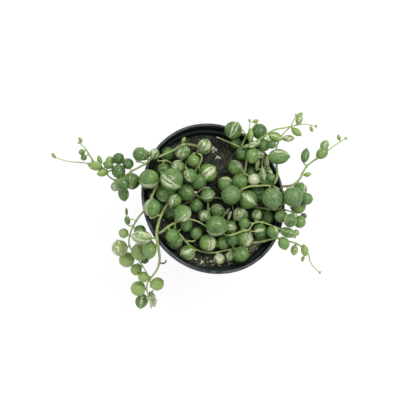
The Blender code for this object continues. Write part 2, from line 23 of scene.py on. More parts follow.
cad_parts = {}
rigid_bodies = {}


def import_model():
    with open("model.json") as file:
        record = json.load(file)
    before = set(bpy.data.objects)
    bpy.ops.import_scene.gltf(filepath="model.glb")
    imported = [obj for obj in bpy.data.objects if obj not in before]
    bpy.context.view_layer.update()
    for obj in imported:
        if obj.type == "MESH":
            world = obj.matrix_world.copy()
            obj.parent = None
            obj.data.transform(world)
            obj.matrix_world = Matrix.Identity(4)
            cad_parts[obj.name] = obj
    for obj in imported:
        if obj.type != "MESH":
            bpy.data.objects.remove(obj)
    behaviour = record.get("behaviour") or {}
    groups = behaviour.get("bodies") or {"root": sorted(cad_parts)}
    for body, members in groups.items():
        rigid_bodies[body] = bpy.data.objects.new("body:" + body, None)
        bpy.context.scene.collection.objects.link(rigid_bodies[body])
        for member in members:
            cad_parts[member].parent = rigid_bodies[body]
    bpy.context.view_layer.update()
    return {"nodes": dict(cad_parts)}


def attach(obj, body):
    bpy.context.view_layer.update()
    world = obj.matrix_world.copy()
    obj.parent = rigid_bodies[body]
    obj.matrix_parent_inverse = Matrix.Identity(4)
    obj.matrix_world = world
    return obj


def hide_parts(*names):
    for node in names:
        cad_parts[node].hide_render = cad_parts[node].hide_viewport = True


LOG = logging.getLogger("string_of_pearls")
MM = 0.001
UP = Vector((0.0, 0.0, 1.0))

Thing = bpy.types.Object
Socket = bpy.types.NodeSocket
Colour = tuple[float, float, float]
Place = tuple[float, float, float]
Pair = tuple[float, float]
Row = tuple[float, ...]

# Pot: an 80 mm nursery pot whose soft mouth is pressed slightly oval.
POT_HEIGHT = 70.0
MOUTH_RADIUS = 40.0
BASE_RADIUS = 28.0
WALL = 1.1
LIP_WIDTH = 1.7
COLLAR_HEIGHT = 9.0
COLLAR_STEP = 0.7
MOUTH_LONG = 1.042
MOUTH_SHORT = 0.958
MOUTH_TURN = math.radians(-64.0)
DRAIN_COUNT = 8
DRAIN_RADIUS = 2.0
DRAIN_CIRCLE = 20.0

# Soil, and the shade painted on it under the heart of the plant: its middle, and how far out the painted shade is
# full and where it ends.
SOIL_TOP = 58.0
SOIL_DOME = 1.0
SHADE_PAINT_AT = (-2.0, -8.0)
SHADE_PAINT_REACH = (15.0, 25.0)

# Rules by which the plant is laid: what it keeps clear of, its stems and petioles, then its leaves.
GAP = 0.3
CLEAR = 0.42
STEM_CLEAR = 0.5
STEM_MARGIN = 0.05
NECK_CLEAR = 0.15
NECK_OFF_STEM = 0.5
NECK_OFF_LEAF = 0.3
WALL_SIDES = 200
STEM_RADIUS = 0.9
STEM_TIP = 0.4
PETIOLE_RADIUS = 0.42
PATH_STEP = 1.0
TUBE_STRIDE = 4
STEM_STIFFNESS = 0.03
STIFFEN_PASSES = 200
FOOT_CHOICES = 40
LEAF_HANG = 0.2
LEAF_RISE = 0.18
SPINDLE_SHARES = (-0.8, -0.4, 0.0, 0.4, 0.8)
SPINDLE_TAPER = 0.62
SLIVER_FROM = 2.4
RISE_STEP = 0.2
NUDGE_COST = 1.5
NUDGES: tuple[Pair, ...] = ((0.0, 0.0),) + tuple(
    (reach * math.cos(turn * math.pi / 4.0), reach * math.sin(turn * math.pi / 4.0))
    for reach in (0.5, 1.0, 1.5) for turn in range(8))


@dataclass(frozen=True)
class Pattern:
    """What a leaf's skin shows.

    stripes is how much cream runs along the leaf all round, band the cream beside its window,
    slit the dark line of the window, bloom the bluish wax, youth the yellow of new growth and
    light how pale its green is. Each is from 0 to 1, and light goes up to 2 where the green is paler still, partly
    the leaf's own paler green and partly painted light.
    """

    stripes: float = 0.0
    band: float = 0.0
    slit: float = 0.0
    bloom: float = 0.0
    youth: float = 0.0
    light: float = 0.5


class Look(Enum):
    """The looks that this plant's leaves take."""

    PLAIN = Pattern(stripes=0.05, light=0.4)
    DARK = Pattern(stripes=0.03, light=0.16)
    MID = Pattern(stripes=0.05, light=0.66, youth=0.1)
    LIGHT = Pattern(stripes=0.08, light=1.35, youth=0.7)
    GREYISH = Pattern(stripes=0.1, light=1.5, youth=0.5, bloom=0.35)
    RINGED = Pattern(stripes=0.42, light=1.5, youth=0.4, bloom=0.45)
    OLIVE = Pattern(stripes=0.05, light=0.4, youth=0.3)
    DULL = Pattern(stripes=0.03, light=0.3, bloom=0.55)
    WAXY = Pattern(stripes=0.12, light=0.32, bloom=0.5)
    SLIT = Pattern(stripes=0.05, slit=0.6, light=1.45, youth=0.4, bloom=0.35)
    FLECKED = Pattern(stripes=0.2, band=0.06, light=0.34, bloom=0.3)
    VEINED = Pattern(stripes=0.2, band=0.2, slit=0.8, light=0.34)
    STREAKED = Pattern(stripes=0.36, band=0.2, slit=0.2, light=0.42, bloom=0.1)
    STRIPED = Pattern(stripes=0.42, band=0.22, slit=0.4, light=0.4)
    BARRED = Pattern(stripes=0.5, band=0.3, light=0.55)
    MARBLED = Pattern(stripes=0.44, band=0.26, slit=0.75, light=0.4)
    SPLIT = Pattern(stripes=0.0, band=0.36, slit=0.9, light=0.3)
    BOLD = Pattern(stripes=0.16, band=0.46, slit=0.6, light=0.46)
    BRIGHT = Pattern(stripes=0.12, band=0.46, slit=0.65, light=0.7, youth=0.12)
    BANDED = Pattern(stripes=0.08, band=0.3, light=0.42)
    EDGED = Pattern(stripes=0.0, band=0.32, light=0.38)
    PALE = Pattern(stripes=0.45, band=0.3, light=0.62, youth=0.3)
    CREAM = Pattern(stripes=0.6, band=0.5, light=0.6, youth=0.2)
    WHITE = Pattern(stripes=1.0, band=1.0, light=0.7, youth=0.3)
    YOUNG = Pattern(stripes=0.08, light=0.7, youth=0.8)
    YOUNG_EDGED = Pattern(stripes=0.26, band=0.2, light=0.6, youth=0.6)


class Form(Enum):
    """The leaf forms that are modelled."""

    PEARL = "pearl"
    POINTED = "pointed"
    SPINDLE = "spindle"
    SLIVER = "sliver"


class StemEnd(Enum):
    """How a stem ends: in a tuft of new leaves, in a spray of slender ones, or cut across."""

    TUFT = "tuft"
    SPRAY = "spray"
    CUT = "cut"


@dataclass(frozen=True)
class Leaf:
    """One leaf, laid as its solid is, and how it is turned and coloured.

    A leaf with a length is a spindle along its heading. On a round one, grain is the compass
    angle of its stripes, rise how far its tip points up, roll turns its window from the top, and
    lean moves the cream off its window to the right of its grain.
    """

    x: float
    y: float
    wide: float
    long: float = 0.0
    heading: float = 0.0
    lift: float = 0.0
    look: Look = Look.PLAIN
    grain: Optional[float] = None
    roll: float = 0.0
    rise: float = 10.0
    lean: float = 0.0
    form: Optional[Form] = None

    @property
    def shape(self) -> Form:
        """The form that the leaf is copied from."""
        if self.form:
            return self.form
        if not self.long:
            return Form.PEARL
        return Form.SLIVER if self.long > SLIVER_FROM * self.wide else Form.SPINDLE


@dataclass(frozen=True)
class Strand:
    """One stem's route over the bed, the leaves that it carries and how it ends."""

    name: str
    route: tuple[Row, ...]
    leaves: tuple[Leaf, ...]
    end: StemEnd = StemEnd.TUFT


# Deepest strand first: each is laid over the ones before it.
STRANDS: tuple[Strand, ...] = (
    Strand("lower_arc", (
        (-13, -4, 59), (-18, -9, 60.5), (-20.5, -15, 61.5), (-16, -21, 61.5), (-10.5, -26.5, 61.5),
        (-7, -28, 61), (-1.5, -29, 61), (4.5, -28.5, 61.5), (9, -27.2, 62), (12.5, -27, 62.5)), (
        Leaf(-23, -7.5, 7.2, look=Look.DARK),
        Leaf(-14.2, -14.5, 6.6, look=Look.PLAIN, grain=30),
        Leaf(-9, -18.4, 6.5, look=Look.FLECKED, grain=80),
        Leaf(-20, -23.5, 8.2, look=Look.VEINED, grain=10, roll=50),
        Leaf(-13.6, -29.6, 8.2, look=Look.STREAKED, grain=15, roll=4),
        Leaf(-3, -24, 9.2, look=Look.BRIGHT, grain=85, roll=14, lean=0.5),
        Leaf(4.5, -23.8, 7, look=Look.PLAIN, grain=20),
        Leaf(10.4, -22.8, 6, look=Look.DARK),
        Leaf(3.8, -31, 5.8, look=Look.BARRED, grain=-60, roll=10),
        Leaf(8.4, -31, 5.4, look=Look.STRIPED, grain=60),
        Leaf(15, -30.4, 8.6, look=Look.PLAIN, grain=40, roll=80),
        Leaf(16.6, -22.4, 10, look=Look.BRIGHT, grain=72, roll=6, lean=0.7))),
    Strand("heart", (
        (6, -12, 59), (1, -11, 60), (-2, -7, 61), (-2, -2, 62), (-7, 2, 62), (-12, 3, 62)), (
        Leaf(-9, -3.4, 7.2, look=Look.DARK),
        Leaf(-4.5, -8.7, 6.4, look=Look.STRIPED, grain=60),
        Leaf(-14.8, 3, 9, look=Look.PLAIN, grain=50),
        Leaf(-2.9, 1.8, 7.6, look=Look.SPLIT, grain=17, roll=18),
        Leaf(2.3, -6, 7.6, look=Look.SPLIT, grain=-15, roll=-26),
        Leaf(8.3, -6.4, 1.7, 4.6, 51, 1, look=Look.PALE),
        Leaf(9.4, -8.4, 1.8, 5, 72, 1, look=Look.CREAM),
        Leaf(11.6, -8.8, 1.8, 6.4, -86, 1, look=Look.PALE))),
    Strand("right_bank", (
        (20, -3, 59), (27, -4, 60.5), (32, -5, 64), (36.5, -5.8, 70.5), (40.5, -7, 72.8),
        (44.5, -8.5, 71), (47, -10.5, 68.5)), (
        Leaf(25.2, 3.4, 8.7, look=Look.DARK),
        Leaf(30.6, -9.4, 7.6, look=Look.DARK),
        Leaf(36.4, -1.4, 5.5, look=Look.PLAIN),
        Leaf(35.8, -10.2, 6.5, look=Look.FLECKED, grain=10),
        Leaf(45.2, -4.6, 8.8, look=Look.MID, grain=60, roll=40),
        Leaf(49.7, -9, 3.3, look=Look.DARK),
        Leaf(46.4, -12.8, 6.4, look=Look.MID, grain=70),
        Leaf(39.6, -13, 7, look=Look.EDGED, grain=50, roll=-60))),
    Strand("left_second", (
        (-14, 13, 59), (-18, 16.5, 60.5), (-22.5, 19.5, 64), (-26.5, 20, 67.5), (-29.6, 19.2, 70.3)), (
        Leaf(-24.8, 23, 7, look=Look.DARK, grain=40),
        Leaf(-26.4, 16, 7, look=Look.DARK))),
    Strand("lower_right_runner", (
        (22, -24, 60), (25.5, -23.5, 64), (29.5, -22.5, 68), (33, -21.8, 71.5), (36.5, -22.3, 72.5),
        (41, -23.5, 71.5), (45.5, -24.5, 70), (48.6, -26.4, 69), (52.4, -30, 66.5), (54.3, -34.5, 64),
        (59.4, -38.8, 61)), (
        Leaf(26.9, -20.8, 7, lift=-2, look=Look.PLAIN, grain=80),
        Leaf(36.6, -24.9, 5.8, 6.8, -75, look=Look.MID, roll=20),
        Leaf(44.4, -27.8, 3.8, 5.6, -100, look=Look.YOUNG_EDGED, roll=-30),
        Leaf(49, -28.2, 3.8, 6, -85, look=Look.YOUNG, roll=30),
        Leaf(49.4, -32.2, 1.8, 3.2, -110, look=Look.YOUNG))),
    Strand("lower_right", (
        (5, -16, 60), (6, -19.5, 62), (9.5, -20.5, 65), (13.5, -18.5, 67), (19.8, -16.5, 69),
        (21.7, -13.3, 70), (24.8, -13, 71), (29, -14.2, 71.5), (32.8, -15.7, 72), (37.5, -17.4, 72.5),
        (40.5, -18.6, 72), (43.5, -20.5, 70.5)), (
        Leaf(24.8, -17.2, 6.8, lift=-6, look=Look.DARK),
        Leaf(9.5, -15.6, 7, lift=-5, look=Look.BOLD, grain=-2, roll=5),
        Leaf(15.2, -8.2, 7.9, lift=-4, look=Look.STRIPED, grain=85, roll=-5, lean=-0.6),
        Leaf(16.3, -14.2, 5.7, look=Look.PLAIN, grain=60),
        Leaf(23.4, -9, 5.5, look=Look.STREAKED, grain=70, roll=30),
        Leaf(31, -18.6, 6.3, look=Look.EDGED, grain=110, roll=40),
        Leaf(39, -18.6, 5.2, 8.8, -20, -1, look=Look.STRIPED),
        Leaf(44.4, -18.4, 3.3, look=Look.YOUNG_EDGED),
        Leaf(23.4, -18.3, 2, 5, 8, 1, look=Look.PALE))),
    Strand("upper_left", (
        (-7, 11, 59), (-9.5, 15.2, 62.5), (-8, 18.3, 65), (-6.3, 21, 66.5), (-7, 24.3, 67),
        (-10, 24.8, 67), (-13, 22.4, 66.5), (-14.8, 19, 66), (-16, 15.5, 66)), (
        Leaf(-9.3, 7.6, 8.2, lift=-3, look=Look.DARK, grain=20),
        Leaf(-4.8, 29, 8.4, look=Look.MARBLED, grain=62, roll=8, lean=-0.3),
        Leaf(-16, 24, 8.2, look=Look.STRIPED, grain=75, roll=-10),
        Leaf(-11.1, 20, 6.5, look=Look.OLIVE, grain=80),
        Leaf(-3, 14.2, 9.8, look=Look.BRIGHT, grain=37, roll=-3, lean=0.4),
        Leaf(-13.6, 10.7, 7, look=Look.BOLD, grain=112, roll=-38),
        Leaf(-19.4, 15.8, 7.6, look=Look.BOLD, grain=70, roll=-5, lean=-0.6))),
    Strand("left_runner", (
        (-8, 27.5, 60), (-11, 28.4, 63), (-13, 28.6, 65), (-17, 27.8, 67), (-21.5, 25.2, 69.5),
        (-26.2, 23, 71.5), (-30, 21, 72.5), (-34.4, 19.6, 73), (-37.2, 16.8, 72.5),
        (-41, 15, 71), (-45.2, 12.8, 69), (-48, 10.9, 67.5), (-54, 9.6, 64.5),
        (-56.8, 12, 63.5), (-59.2, 15.2, 63), (-62.8, 17.4, 62.3), (-67, 18.6, 62),
        (-71.5, 19, 62), (-79.6, 19.6, 62.5), (-85, 21.2, 63.5)), (
        Leaf(-42.8, 9, 8.8, lift=-3, look=Look.BOLD, grain=95, roll=-30, form=Form.SPINDLE),
        Leaf(-52.6, 6.4, 5, lift=-3, look=Look.PALE),
        Leaf(-16.6, 29.8, 2, 3, 60, look=Look.YOUNG),
        Leaf(-36.8, 21.8, 6.2, lift=-4, look=Look.OLIVE),
        Leaf(-32.6, 21.6, 5.4, look=Look.STRIPED, grain=60),
        Leaf(-40.2, 21.8, 7.2, lift=-1, look=Look.VEINED, grain=60, roll=40),
        Leaf(-46.2, 17.6, 5.7, look=Look.DARK),
        Leaf(-50.6, 20, 6, lift=-1, look=Look.DARK),
        Leaf(-54.4, 20.4, 4.2, lift=1, look=Look.GREYISH),
        Leaf(-56.6, 17, 4, 5.6, 160, look=Look.OLIVE),
        Leaf(-50.2, 13, 7.2, look=Look.DARK),
        Leaf(-49, 7.4, 7.2, look=Look.DARK, grain=100),
        Leaf(-48.6, 2.6, 5.6, 8, -80, -2, look=Look.EDGED, roll=-60),
        Leaf(-61.4, 20.6, 2.7, 5, 105, look=Look.YOUNG),
        Leaf(-63.6, 16.6, 4.8, 7.6, 172, look=Look.YOUNG_EDGED, roll=40),
        Leaf(-59.6, 13.4, 3.8, 6, 200, look=Look.YOUNG),
        Leaf(-85.8, 21.8, 1.8, 3, 125, look=Look.YOUNG))),
    Strand("left_side_tip", (
        (-65.2, 19.5, 62), (-67.2, 22.9, 62.8), (-69.6, 26.8, 64), (-72, 28.8, 65)), (
        Leaf(-70.2, 24.8, 3.2, look=Look.OLIVE),
        Leaf(-69.8, 21.4, 3.2, look=Look.PLAIN),
        Leaf(-72.6, 30.2, 1.8, 3, 120, look=Look.YOUNG))),
    Strand("hanging_left", (
        (-20, 9, 60), (-25.5, 8.8, 65), (-29.3, 8.4, 69.5), (-31, 5.2, 70.5), (-33.2, 0.3, 71),
        (-35.9, -5.7, 72), (-37.6, -8.4, 72.5), (-40, -11.2, 71), (-42.6, -15, 65), (-44.2, -19, 57),
        (-44.6, -23.8, 50), (-42, -28.4, 45), (-39, -32, 42), (-36.6, -35.2, 41), (-33.2, -40.6, 40)), (
        Leaf(-28.6, -4.6, 6, lift=-8, look=Look.DARK),
        Leaf(-26.4, 2.4, 10.4, lift=-7, look=Look.EDGED, grain=-40, roll=68),
        Leaf(-23.4, 7.9, 11.8, lift=-1, look=Look.BOLD, grain=-40, roll=12, lean=1.0),
        Leaf(-35.2, 8.2, 10.4, look=Look.EDGED, grain=10, roll=58),
        Leaf(-40.2, -16.8, 6.2, look=Look.DARK),
        Leaf(-47.8, -18.4, 5, look=Look.GREYISH),
        Leaf(-49.2, -25.8, 9, look=Look.RINGED, grain=110, roll=60),
        Leaf(-44.6, -31.6, 8.4, lift=-1, look=Look.GREYISH, grain=30),
        Leaf(-38.8, -28, 9.2, lift=4, look=Look.SLIT, grain=110, roll=10),
        Leaf(-36.6, -32.4, 4.6, look=Look.DARK),
        Leaf(-40.2, -37, 6.2, look=Look.LIGHT, grain=80),
        Leaf(-46, -12.6, 3, 4.8, 100, look=Look.PLAIN),
        Leaf(-46.6, -8.4, 1.4, 4, 95, look=Look.DARK))),
    Strand("trailer", (
        (-17, -3, 60), (-21, -3.2, 66), (-24.6, -4, 70), (-27.2, -7.6, 71), (-28.8, -11.4, 71.5),
        (-30, -15.4, 72.5), (-30.8, -21, 73.5), (-30.2, -25, 72), (-29.2, -29, 68),
        (-28.2, -34, 56), (-28.8, -37, 50), (-31.8, -41.6, 43.5), (-33.8, -44.8, 38),
        (-33.2, -50.2, 31), (-31.4, -54, 26)), (
        Leaf(-21.5, -3, 7, lift=-2, look=Look.BOLD, grain=70, roll=-36),
        Leaf(-33.6, -7.2, 9, look=Look.BANDED, grain=80, roll=-42),
        Leaf(-38.4, -22.2, 7, 10.8, 176, look=Look.BARRED),
        Leaf(-33.8, -28.8, 7.2, 9.6, -92, look=Look.MID, roll=90),
        Leaf(-29.4, -44, 7.2, look=Look.LIGHT, grain=30, roll=70),
        Leaf(-35.8, -41, 5.8, look=Look.LIGHT),
        Leaf(-38, -48, 8.2, look=Look.LIGHT),
        Leaf(-36.6, -54.4, 6.8, 7.8, -100, look=Look.BANDED),
        Leaf(-30.4, -50.8, 2.4, 4.5, -50, look=Look.PALE),
        Leaf(-29.6, -54.4, 2, 4.2, -75, look=Look.PALE)), StemEnd.SPRAY),
    Strand("junction", (
        (-28.8, -19.8, 73.6), (-27, -18.4, 73), (-23.4, -15.6, 72.5), (-20.9, -14.2, 72),
        (-16.8, -12.8, 71), (-13, -12, 70.5), (-9.8, -12.8, 70), (-6, -14.4, 69), (-2.6, -16.4, 67)), (
        Leaf(-22.4, -21.2, 7.3, look=Look.PLAIN),
        Leaf(-17.4, -9.9, 9, look=Look.BOLD, grain=40, roll=36, lean=0.5),
        Leaf(1.1, -15.6, 11.3, look=Look.EDGED, grain=0, roll=66))),
    Strand("cut_end", (
        (14.5, 10, 60), (17, 13.5, 66), (17.8, 18.8, 69), (17.4, 25.4, 70), (14.7, 27.9, 69.5),
        (8.9, 31.2, 67.5), (2.2, 34.4, 65.5)), (
        Leaf(21.8, 15.2, 7, lift=-5, look=Look.DARK),
        Leaf(7.4, 8.6, 8.7, look=Look.EDGED, grain=-25, roll=-35),
        Leaf(12.5, 17.1, 8.4, look=Look.EDGED, grain=-50, roll=-35),
        Leaf(14.4, 9.2, 8.2, look=Look.PLAIN, grain=60),
        Leaf(15, 24, 6.8, look=Look.DARK),
        Leaf(19.6, 21.8, 6.4, 8.6, -100, look=Look.MID, roll=40),
        Leaf(20.4, 10.1, 6.5, look=Look.WHITE, rise=70),
        Leaf(13.6, 31.8, 6.2, lift=-3, look=Look.DARK)), StemEnd.CUT),
    Strand("pale_leaves", (
        (25, 13, 60), (26, 15.6, 64), (26.5, 18, 67), (27, 22, 69.5), (27.5, 26, 72)), (
        Leaf(26.7, 9, 6.2, lift=-2, look=Look.EDGED, grain=10, roll=-50),
        Leaf(24.6, 19.5, 2.6, 7.5, 80, look=Look.STRIPED),
        Leaf(29, 19, 2.6, 8, 95, look=Look.PALE),
        Leaf(26, 12.4, 2.6, 7.5, -85, look=Look.STRIPED),
        Leaf(29.6, 13.6, 2.4, 7, -70, look=Look.PALE),
        Leaf(29.8, 10, 4, look=Look.PLAIN),
        Leaf(27, 28.4, 6.2, look=Look.MID, grain=80),
        Leaf(24, 24, 4.4, 6.5, 160, look=Look.PALE))),
    Strand("right_top", (
        (10, 4, 62), (14, 3.8, 70), (17, 5.4, 73), (23.1, 6, 74), (28.4, 6, 74.5), (31.7, 5.7, 74.5),
        (34.9, 4.4, 74.5), (37.6, 3.3, 74.5), (41.5, 1.5, 73.5), (45, -0.5, 72)), (
        Leaf(8.8, 1.2, 10.2, look=Look.WAXY, grain=20),
        Leaf(17.6, 0.2, 9.7, look=Look.BANDED, grain=-38),
        Leaf(30.1, -1, 10.7, look=Look.DULL, grain=-80, form=Form.POINTED),
        Leaf(40.2, -0.5, 10.4, look=Look.WAXY, grain=-60, roll=60),
        Leaf(46.8, 3.4, 7.6, look=Look.BANDED, grain=70, roll=30),
        Leaf(48.4, 0.2, 6.2, lift=-3, look=Look.WAXY))),
    Strand("right_runner", (
        (36.4, 5.6, 73), (41.5, 6.6, 75), (44.8, 8.6, 76.5), (47, 12.5, 77), (48.3, 15.1, 77.5),
        (50.8, 18.1, 78), (54.3, 20.4, 79), (60.4, 25, 80.5), (65.6, 28.8, 81.5), (69.4, 31.2, 82.5)), (
        Leaf(48.8, 22.6, 4.4, 7.6, 80, look=Look.FLECKED, roll=50),
        Leaf(56.5, 22.8, 5.4, 7, 40, look=Look.MID),
        Leaf(59, 28.2, 4.4, 5.4, 60, look=Look.YOUNG_EDGED),
        Leaf(67.2, 31.4, 2, 3.3, 110, look=Look.YOUNG),
        Leaf(50, 12.4, 2.5, 3.8, 10, look=Look.YOUNG))),
    Strand("right_upright", (
        (31.9, 8, 74.8), (32.4, 10.4, 75), (33.4, 13.9, 75), (33, 16.7, 75), (32.9, 25, 76.5),
        (33.8, 29.1, 77.5), (36.8, 34.4, 79), (39.3, 36.6, 80), (42.8, 43, 82)), (
        Leaf(33.2, 20.8, 8, 11.2, 0, look=Look.BANDED, roll=-34),
        Leaf(31.8, 31.6, 5.2, 7.4, 165, look=Look.YOUNG_EDGED),
        Leaf(38.4, 31.8, 3.6, 6.4, 0, look=Look.PALE),
        Leaf(44.8, 44, 2.4, 3.4, 40, look=Look.YOUNG))),
    Strand("top_cluster", (
        (15.5, 29, 60), (16.5, 31.5, 67), (17.5, 33.5, 72.5), (18.4, 35.5, 75.5), (18.6, 38, 76.7),
        (18.4, 40.5, 77.5)), (
        Leaf(9.9, 36.2, 9.3, look=Look.SPLIT, grain=66, roll=4),
        Leaf(24.4, 36, 8.1, look=Look.DARK, grain=100, rise=8, form=Form.POINTED),
        Leaf(19.5, 33.4, 3.2, 7, 88, 1.5, look=Look.YOUNG_EDGED),
        Leaf(21.8, 41, 2, 3.2, 15, look=Look.YOUNG))),
    Strand("top_right_arc", (
        (15.4, 26.4, 73), (19.9, 28.6, 75), (24.9, 31.2, 77), (28.9, 34, 78.5), (33.6, 36, 80.5),
        (38.4, 36.8, 82), (43.5, 38.2, 83), (48, 38.6, 83), (52.8, 37.8, 83)), (
        Leaf(43.8, 40.4, 3.6, 5.2, 75, look=Look.YOUNG_EDGED),
        Leaf(42, 35.6, 3.6, 6.2, -40, look=Look.YOUNG),
        Leaf(51.2, 36, 1.8, 3, -70, look=Look.YOUNG),
        Leaf(30.5, 28.2, 4.4, look=Look.DARK),
        Leaf(20, 26.6, 3.2, 6.5, 20, look=Look.STRIPED))),
)


def pot_radius(height: float) -> float:
    """Outer radius of the tapered wall at a height, before the mouth is pressed oval."""
    return BASE_RADIUS + (MOUTH_RADIUS - COLLAR_STEP - BASE_RADIUS) * height / POT_HEIGHT


def turned(x: float, y: float, angle: float) -> Pair:
    """A plan point turned about the pot's axis."""
    cos_turn, sin_turn = math.cos(angle), math.sin(angle)
    return x * cos_turn - y * sin_turn, x * sin_turn + y * cos_turn


def oval(radius: float, angle: float) -> Pair:
    """The plan point at an angle on the pot's oval of a mean radius."""
    return turned(radius * MOUTH_LONG * math.cos(angle), radius * MOUTH_SHORT * math.sin(angle), MOUTH_TURN)


def reach_from_axis(x: float, y: float) -> float:
    """How far a plan point is from the pot's axis, with the oval undone."""
    cos_turn, sin_turn = math.cos(MOUTH_TURN), math.sin(MOUTH_TURN)
    along = (x * cos_turn + y * sin_turn) / MOUTH_LONG
    across = (y * cos_turn - x * sin_turn) / MOUTH_SHORT
    return math.hypot(along, across)


def inside_mouth(x: float, y: float) -> bool:
    """Whether a plan point lies inside the pot's rim."""
    return reach_from_axis(x, y) < MOUTH_RADIUS


def wall_spheres() -> np.ndarray:
    """Small spheres along the lip and the wall over the soil, which nothing may enter."""
    rows = []
    bead = 0.5 * LIP_WIDTH
    for level in np.arange(SOIL_TOP, POT_HEIGHT, 1.0):
        height = min(level + 1.0, POT_HEIGHT) - bead
        outer = MOUTH_RADIUS if height > POT_HEIGHT - COLLAR_HEIGHT else pot_radius(height)
        for angle in np.linspace(0.0, 2.0 * math.pi, WALL_SIDES, endpoint=False):
            rows.append((*oval(outer - bead, angle), height, bead))
    return np.array(rows)


class Bed:
    """The room that is taken, as spheres of x, y, z and radius, with the stem each belongs to."""

    def __init__(self) -> None:
        """Start with the pot's wall and lip."""
        self.spheres = wall_spheres()
        self.owner = np.full(len(self.spheres), -1)

    def add(self, rows: np.ndarray, owner: int = -1) -> None:
        """Take up the room of more spheres."""
        self.spheres = np.vstack((self.spheres, rows))
        self.owner = np.concatenate((self.owner, np.full(len(rows), owner)))

    def room(self, rows: np.ndarray, ignore: Optional[int] = None) -> float:
        """The smallest distance between these spheres and what is there."""
        taken = self.spheres if ignore is None else self.spheres[self.owner != ignore]
        away = rows[:, None, :3] - taken[None, :, :3]
        return float((np.linalg.norm(away, axis=2) - rows[:, None, 3] - taken[None, :, 3]).min())

    def over(self, x: float, y: float, reach: float) -> float:
        """The lowest height at which a ball of this reach passes over everything here."""
        across = np.hypot(self.spheres[:, 0] - x, self.spheres[:, 1] - y)
        sum_reach = self.spheres[:, 3] + reach
        under = across < sum_reach
        if not under.any():
            return 0.0
        rise = np.sqrt(sum_reach[under] ** 2 - across[under] ** 2)
        return float((self.spheres[under, 2] + rise).max())

    def settle(self, rows: np.ndarray) -> Vector:
        """The small move after which these spheres clear everything: little rise, and less aside."""
        best, best_cost = (0.0, 0.0, 0.0), math.inf
        for aside in NUDGES:
            rise = 0.0
            cost = NUDGE_COST * math.hypot(*aside)
            while cost + rise < best_cost and self.room(rows + (*aside, rise, 0.0)) < CLEAR:
                rise += RISE_STEP
            if cost + rise < best_cost:
                best, best_cost = (*aside, rise), cost + rise
        return Vector(best)


def ground(x: float, y: float) -> float:
    """Height of the soil or of the surface that the pot stands on."""
    return SOIL_TOP + SOIL_DOME if inside_mouth(x, y) else 0.0


def smooth_path(route: Sequence[Sequence[float]], step: float) -> np.ndarray:
    """Points about a step apart along a smooth curve through the route's points."""
    points = [np.array(point, float) for point in route]
    chords = [np.linalg.norm(b - a) for a, b in zip(points, points[1:])]
    slopes = [(points[1] - points[0]) / chords[0]]
    for before, here, after, left, right in zip(points, points[1:], points[2:], chords, chords[1:]):
        slopes.append(((here - before) / left * right + (after - here) / right * left) / (left + right))
    slopes.append((points[-1] - points[-2]) / chords[-1])
    path = [points[0]]
    for start, end, leave, arrive, chord in zip(points, points[1:], slopes, slopes[1:], chords):
        count = max(1, round(chord / step))
        for index in range(1, count + 1):
            t = index / count
            path.append((2 * t ** 3 - 3 * t ** 2 + 1) * start + (3 * t ** 2 - 2 * t ** 3) * end
                        + chord * ((t ** 3 - 2 * t ** 2 + t) * leave + (t ** 3 - t ** 2) * arrive))
    return np.array(path)


def lay_stem(route: Sequence[Row], bed: Bed) -> np.ndarray:
    """A stem's path, raised over what lies under it, in its tube's straight runs.

    Args:
        route: The points that the stem passes, in order from its root.
        bed: What already lies there.

    Returns:
        Rows of x, y, z and radius.
    """
    path = smooth_path(route, PATH_STEP)
    radius = np.linspace(STEM_RADIUS, STEM_TIP, len(path))
    for point, thick in zip(path, radius):
        lowest = ground(point[0], point[1]) + thick + GAP
        point[2] = max(point[2], lowest, bed.over(point[0], point[1], thick + STEM_CLEAR))
    for _ in range(STIFFEN_PASSES):
        bridge = 0.5 * (path[:-2, 2] + path[2:, 2]) - STEM_STIFFNESS
        path[1:-1, 2] = np.maximum(path[1:-1, 2], bridge)
    stem = np.column_stack((path, radius))
    for start in range(0, len(stem) - 1, TUBE_STRIDE):
        end = min(start + TUBE_STRIDE, len(stem) - 1)
        stem[start:end + 1] = np.linspace(stem[start], stem[end], end - start + 1)
    return stem


@dataclass
class PlacedLeaf:
    """A leaf where it came to rest: its centre, its axis from base to tip, and its petiole's foot."""

    leaf: Leaf
    centre: Vector
    axis: Vector
    foot: Vector


@dataclass
class LaidStrand:
    """A strand where it came to rest, with its stem as rows of x, y, z and radius."""

    strand: Strand
    stem: np.ndarray
    leaves: list[PlacedLeaf]


def leaf_spheres(leaf: Leaf, centre: Vector, axis: Vector) -> np.ndarray:
    """Spheres that fill the leaf."""
    if not leaf.long:
        return np.array([(*centre, 0.5 * leaf.wide)])
    rows = []
    for share in SPINDLE_SHARES:
        thick = 0.5 * leaf.wide * (1.0 - SPINDLE_TAPER * abs(share) ** 2)
        reach = share * (0.5 * leaf.long - 0.25 * leaf.wide)
        rows.append((*(centre + axis * reach), thick))
    return np.array(rows)


def petiole_spheres(foot: Vector, base: Vector, foot_radius: float) -> Optional[np.ndarray]:
    """Spheres along a petiole, from just off the stem to just off the leaf."""
    run = base - foot
    count = max(2, int(run.length / 0.5))
    rows = []
    for index in range(count + 1):
        along = run.length * index / count
        if foot_radius + NECK_OFF_STEM < along < run.length - NECK_OFF_LEAF:
            rows.append((*(foot + run * (along / run.length)), PETIOLE_RADIUS))
    return np.array(rows) if rows else None


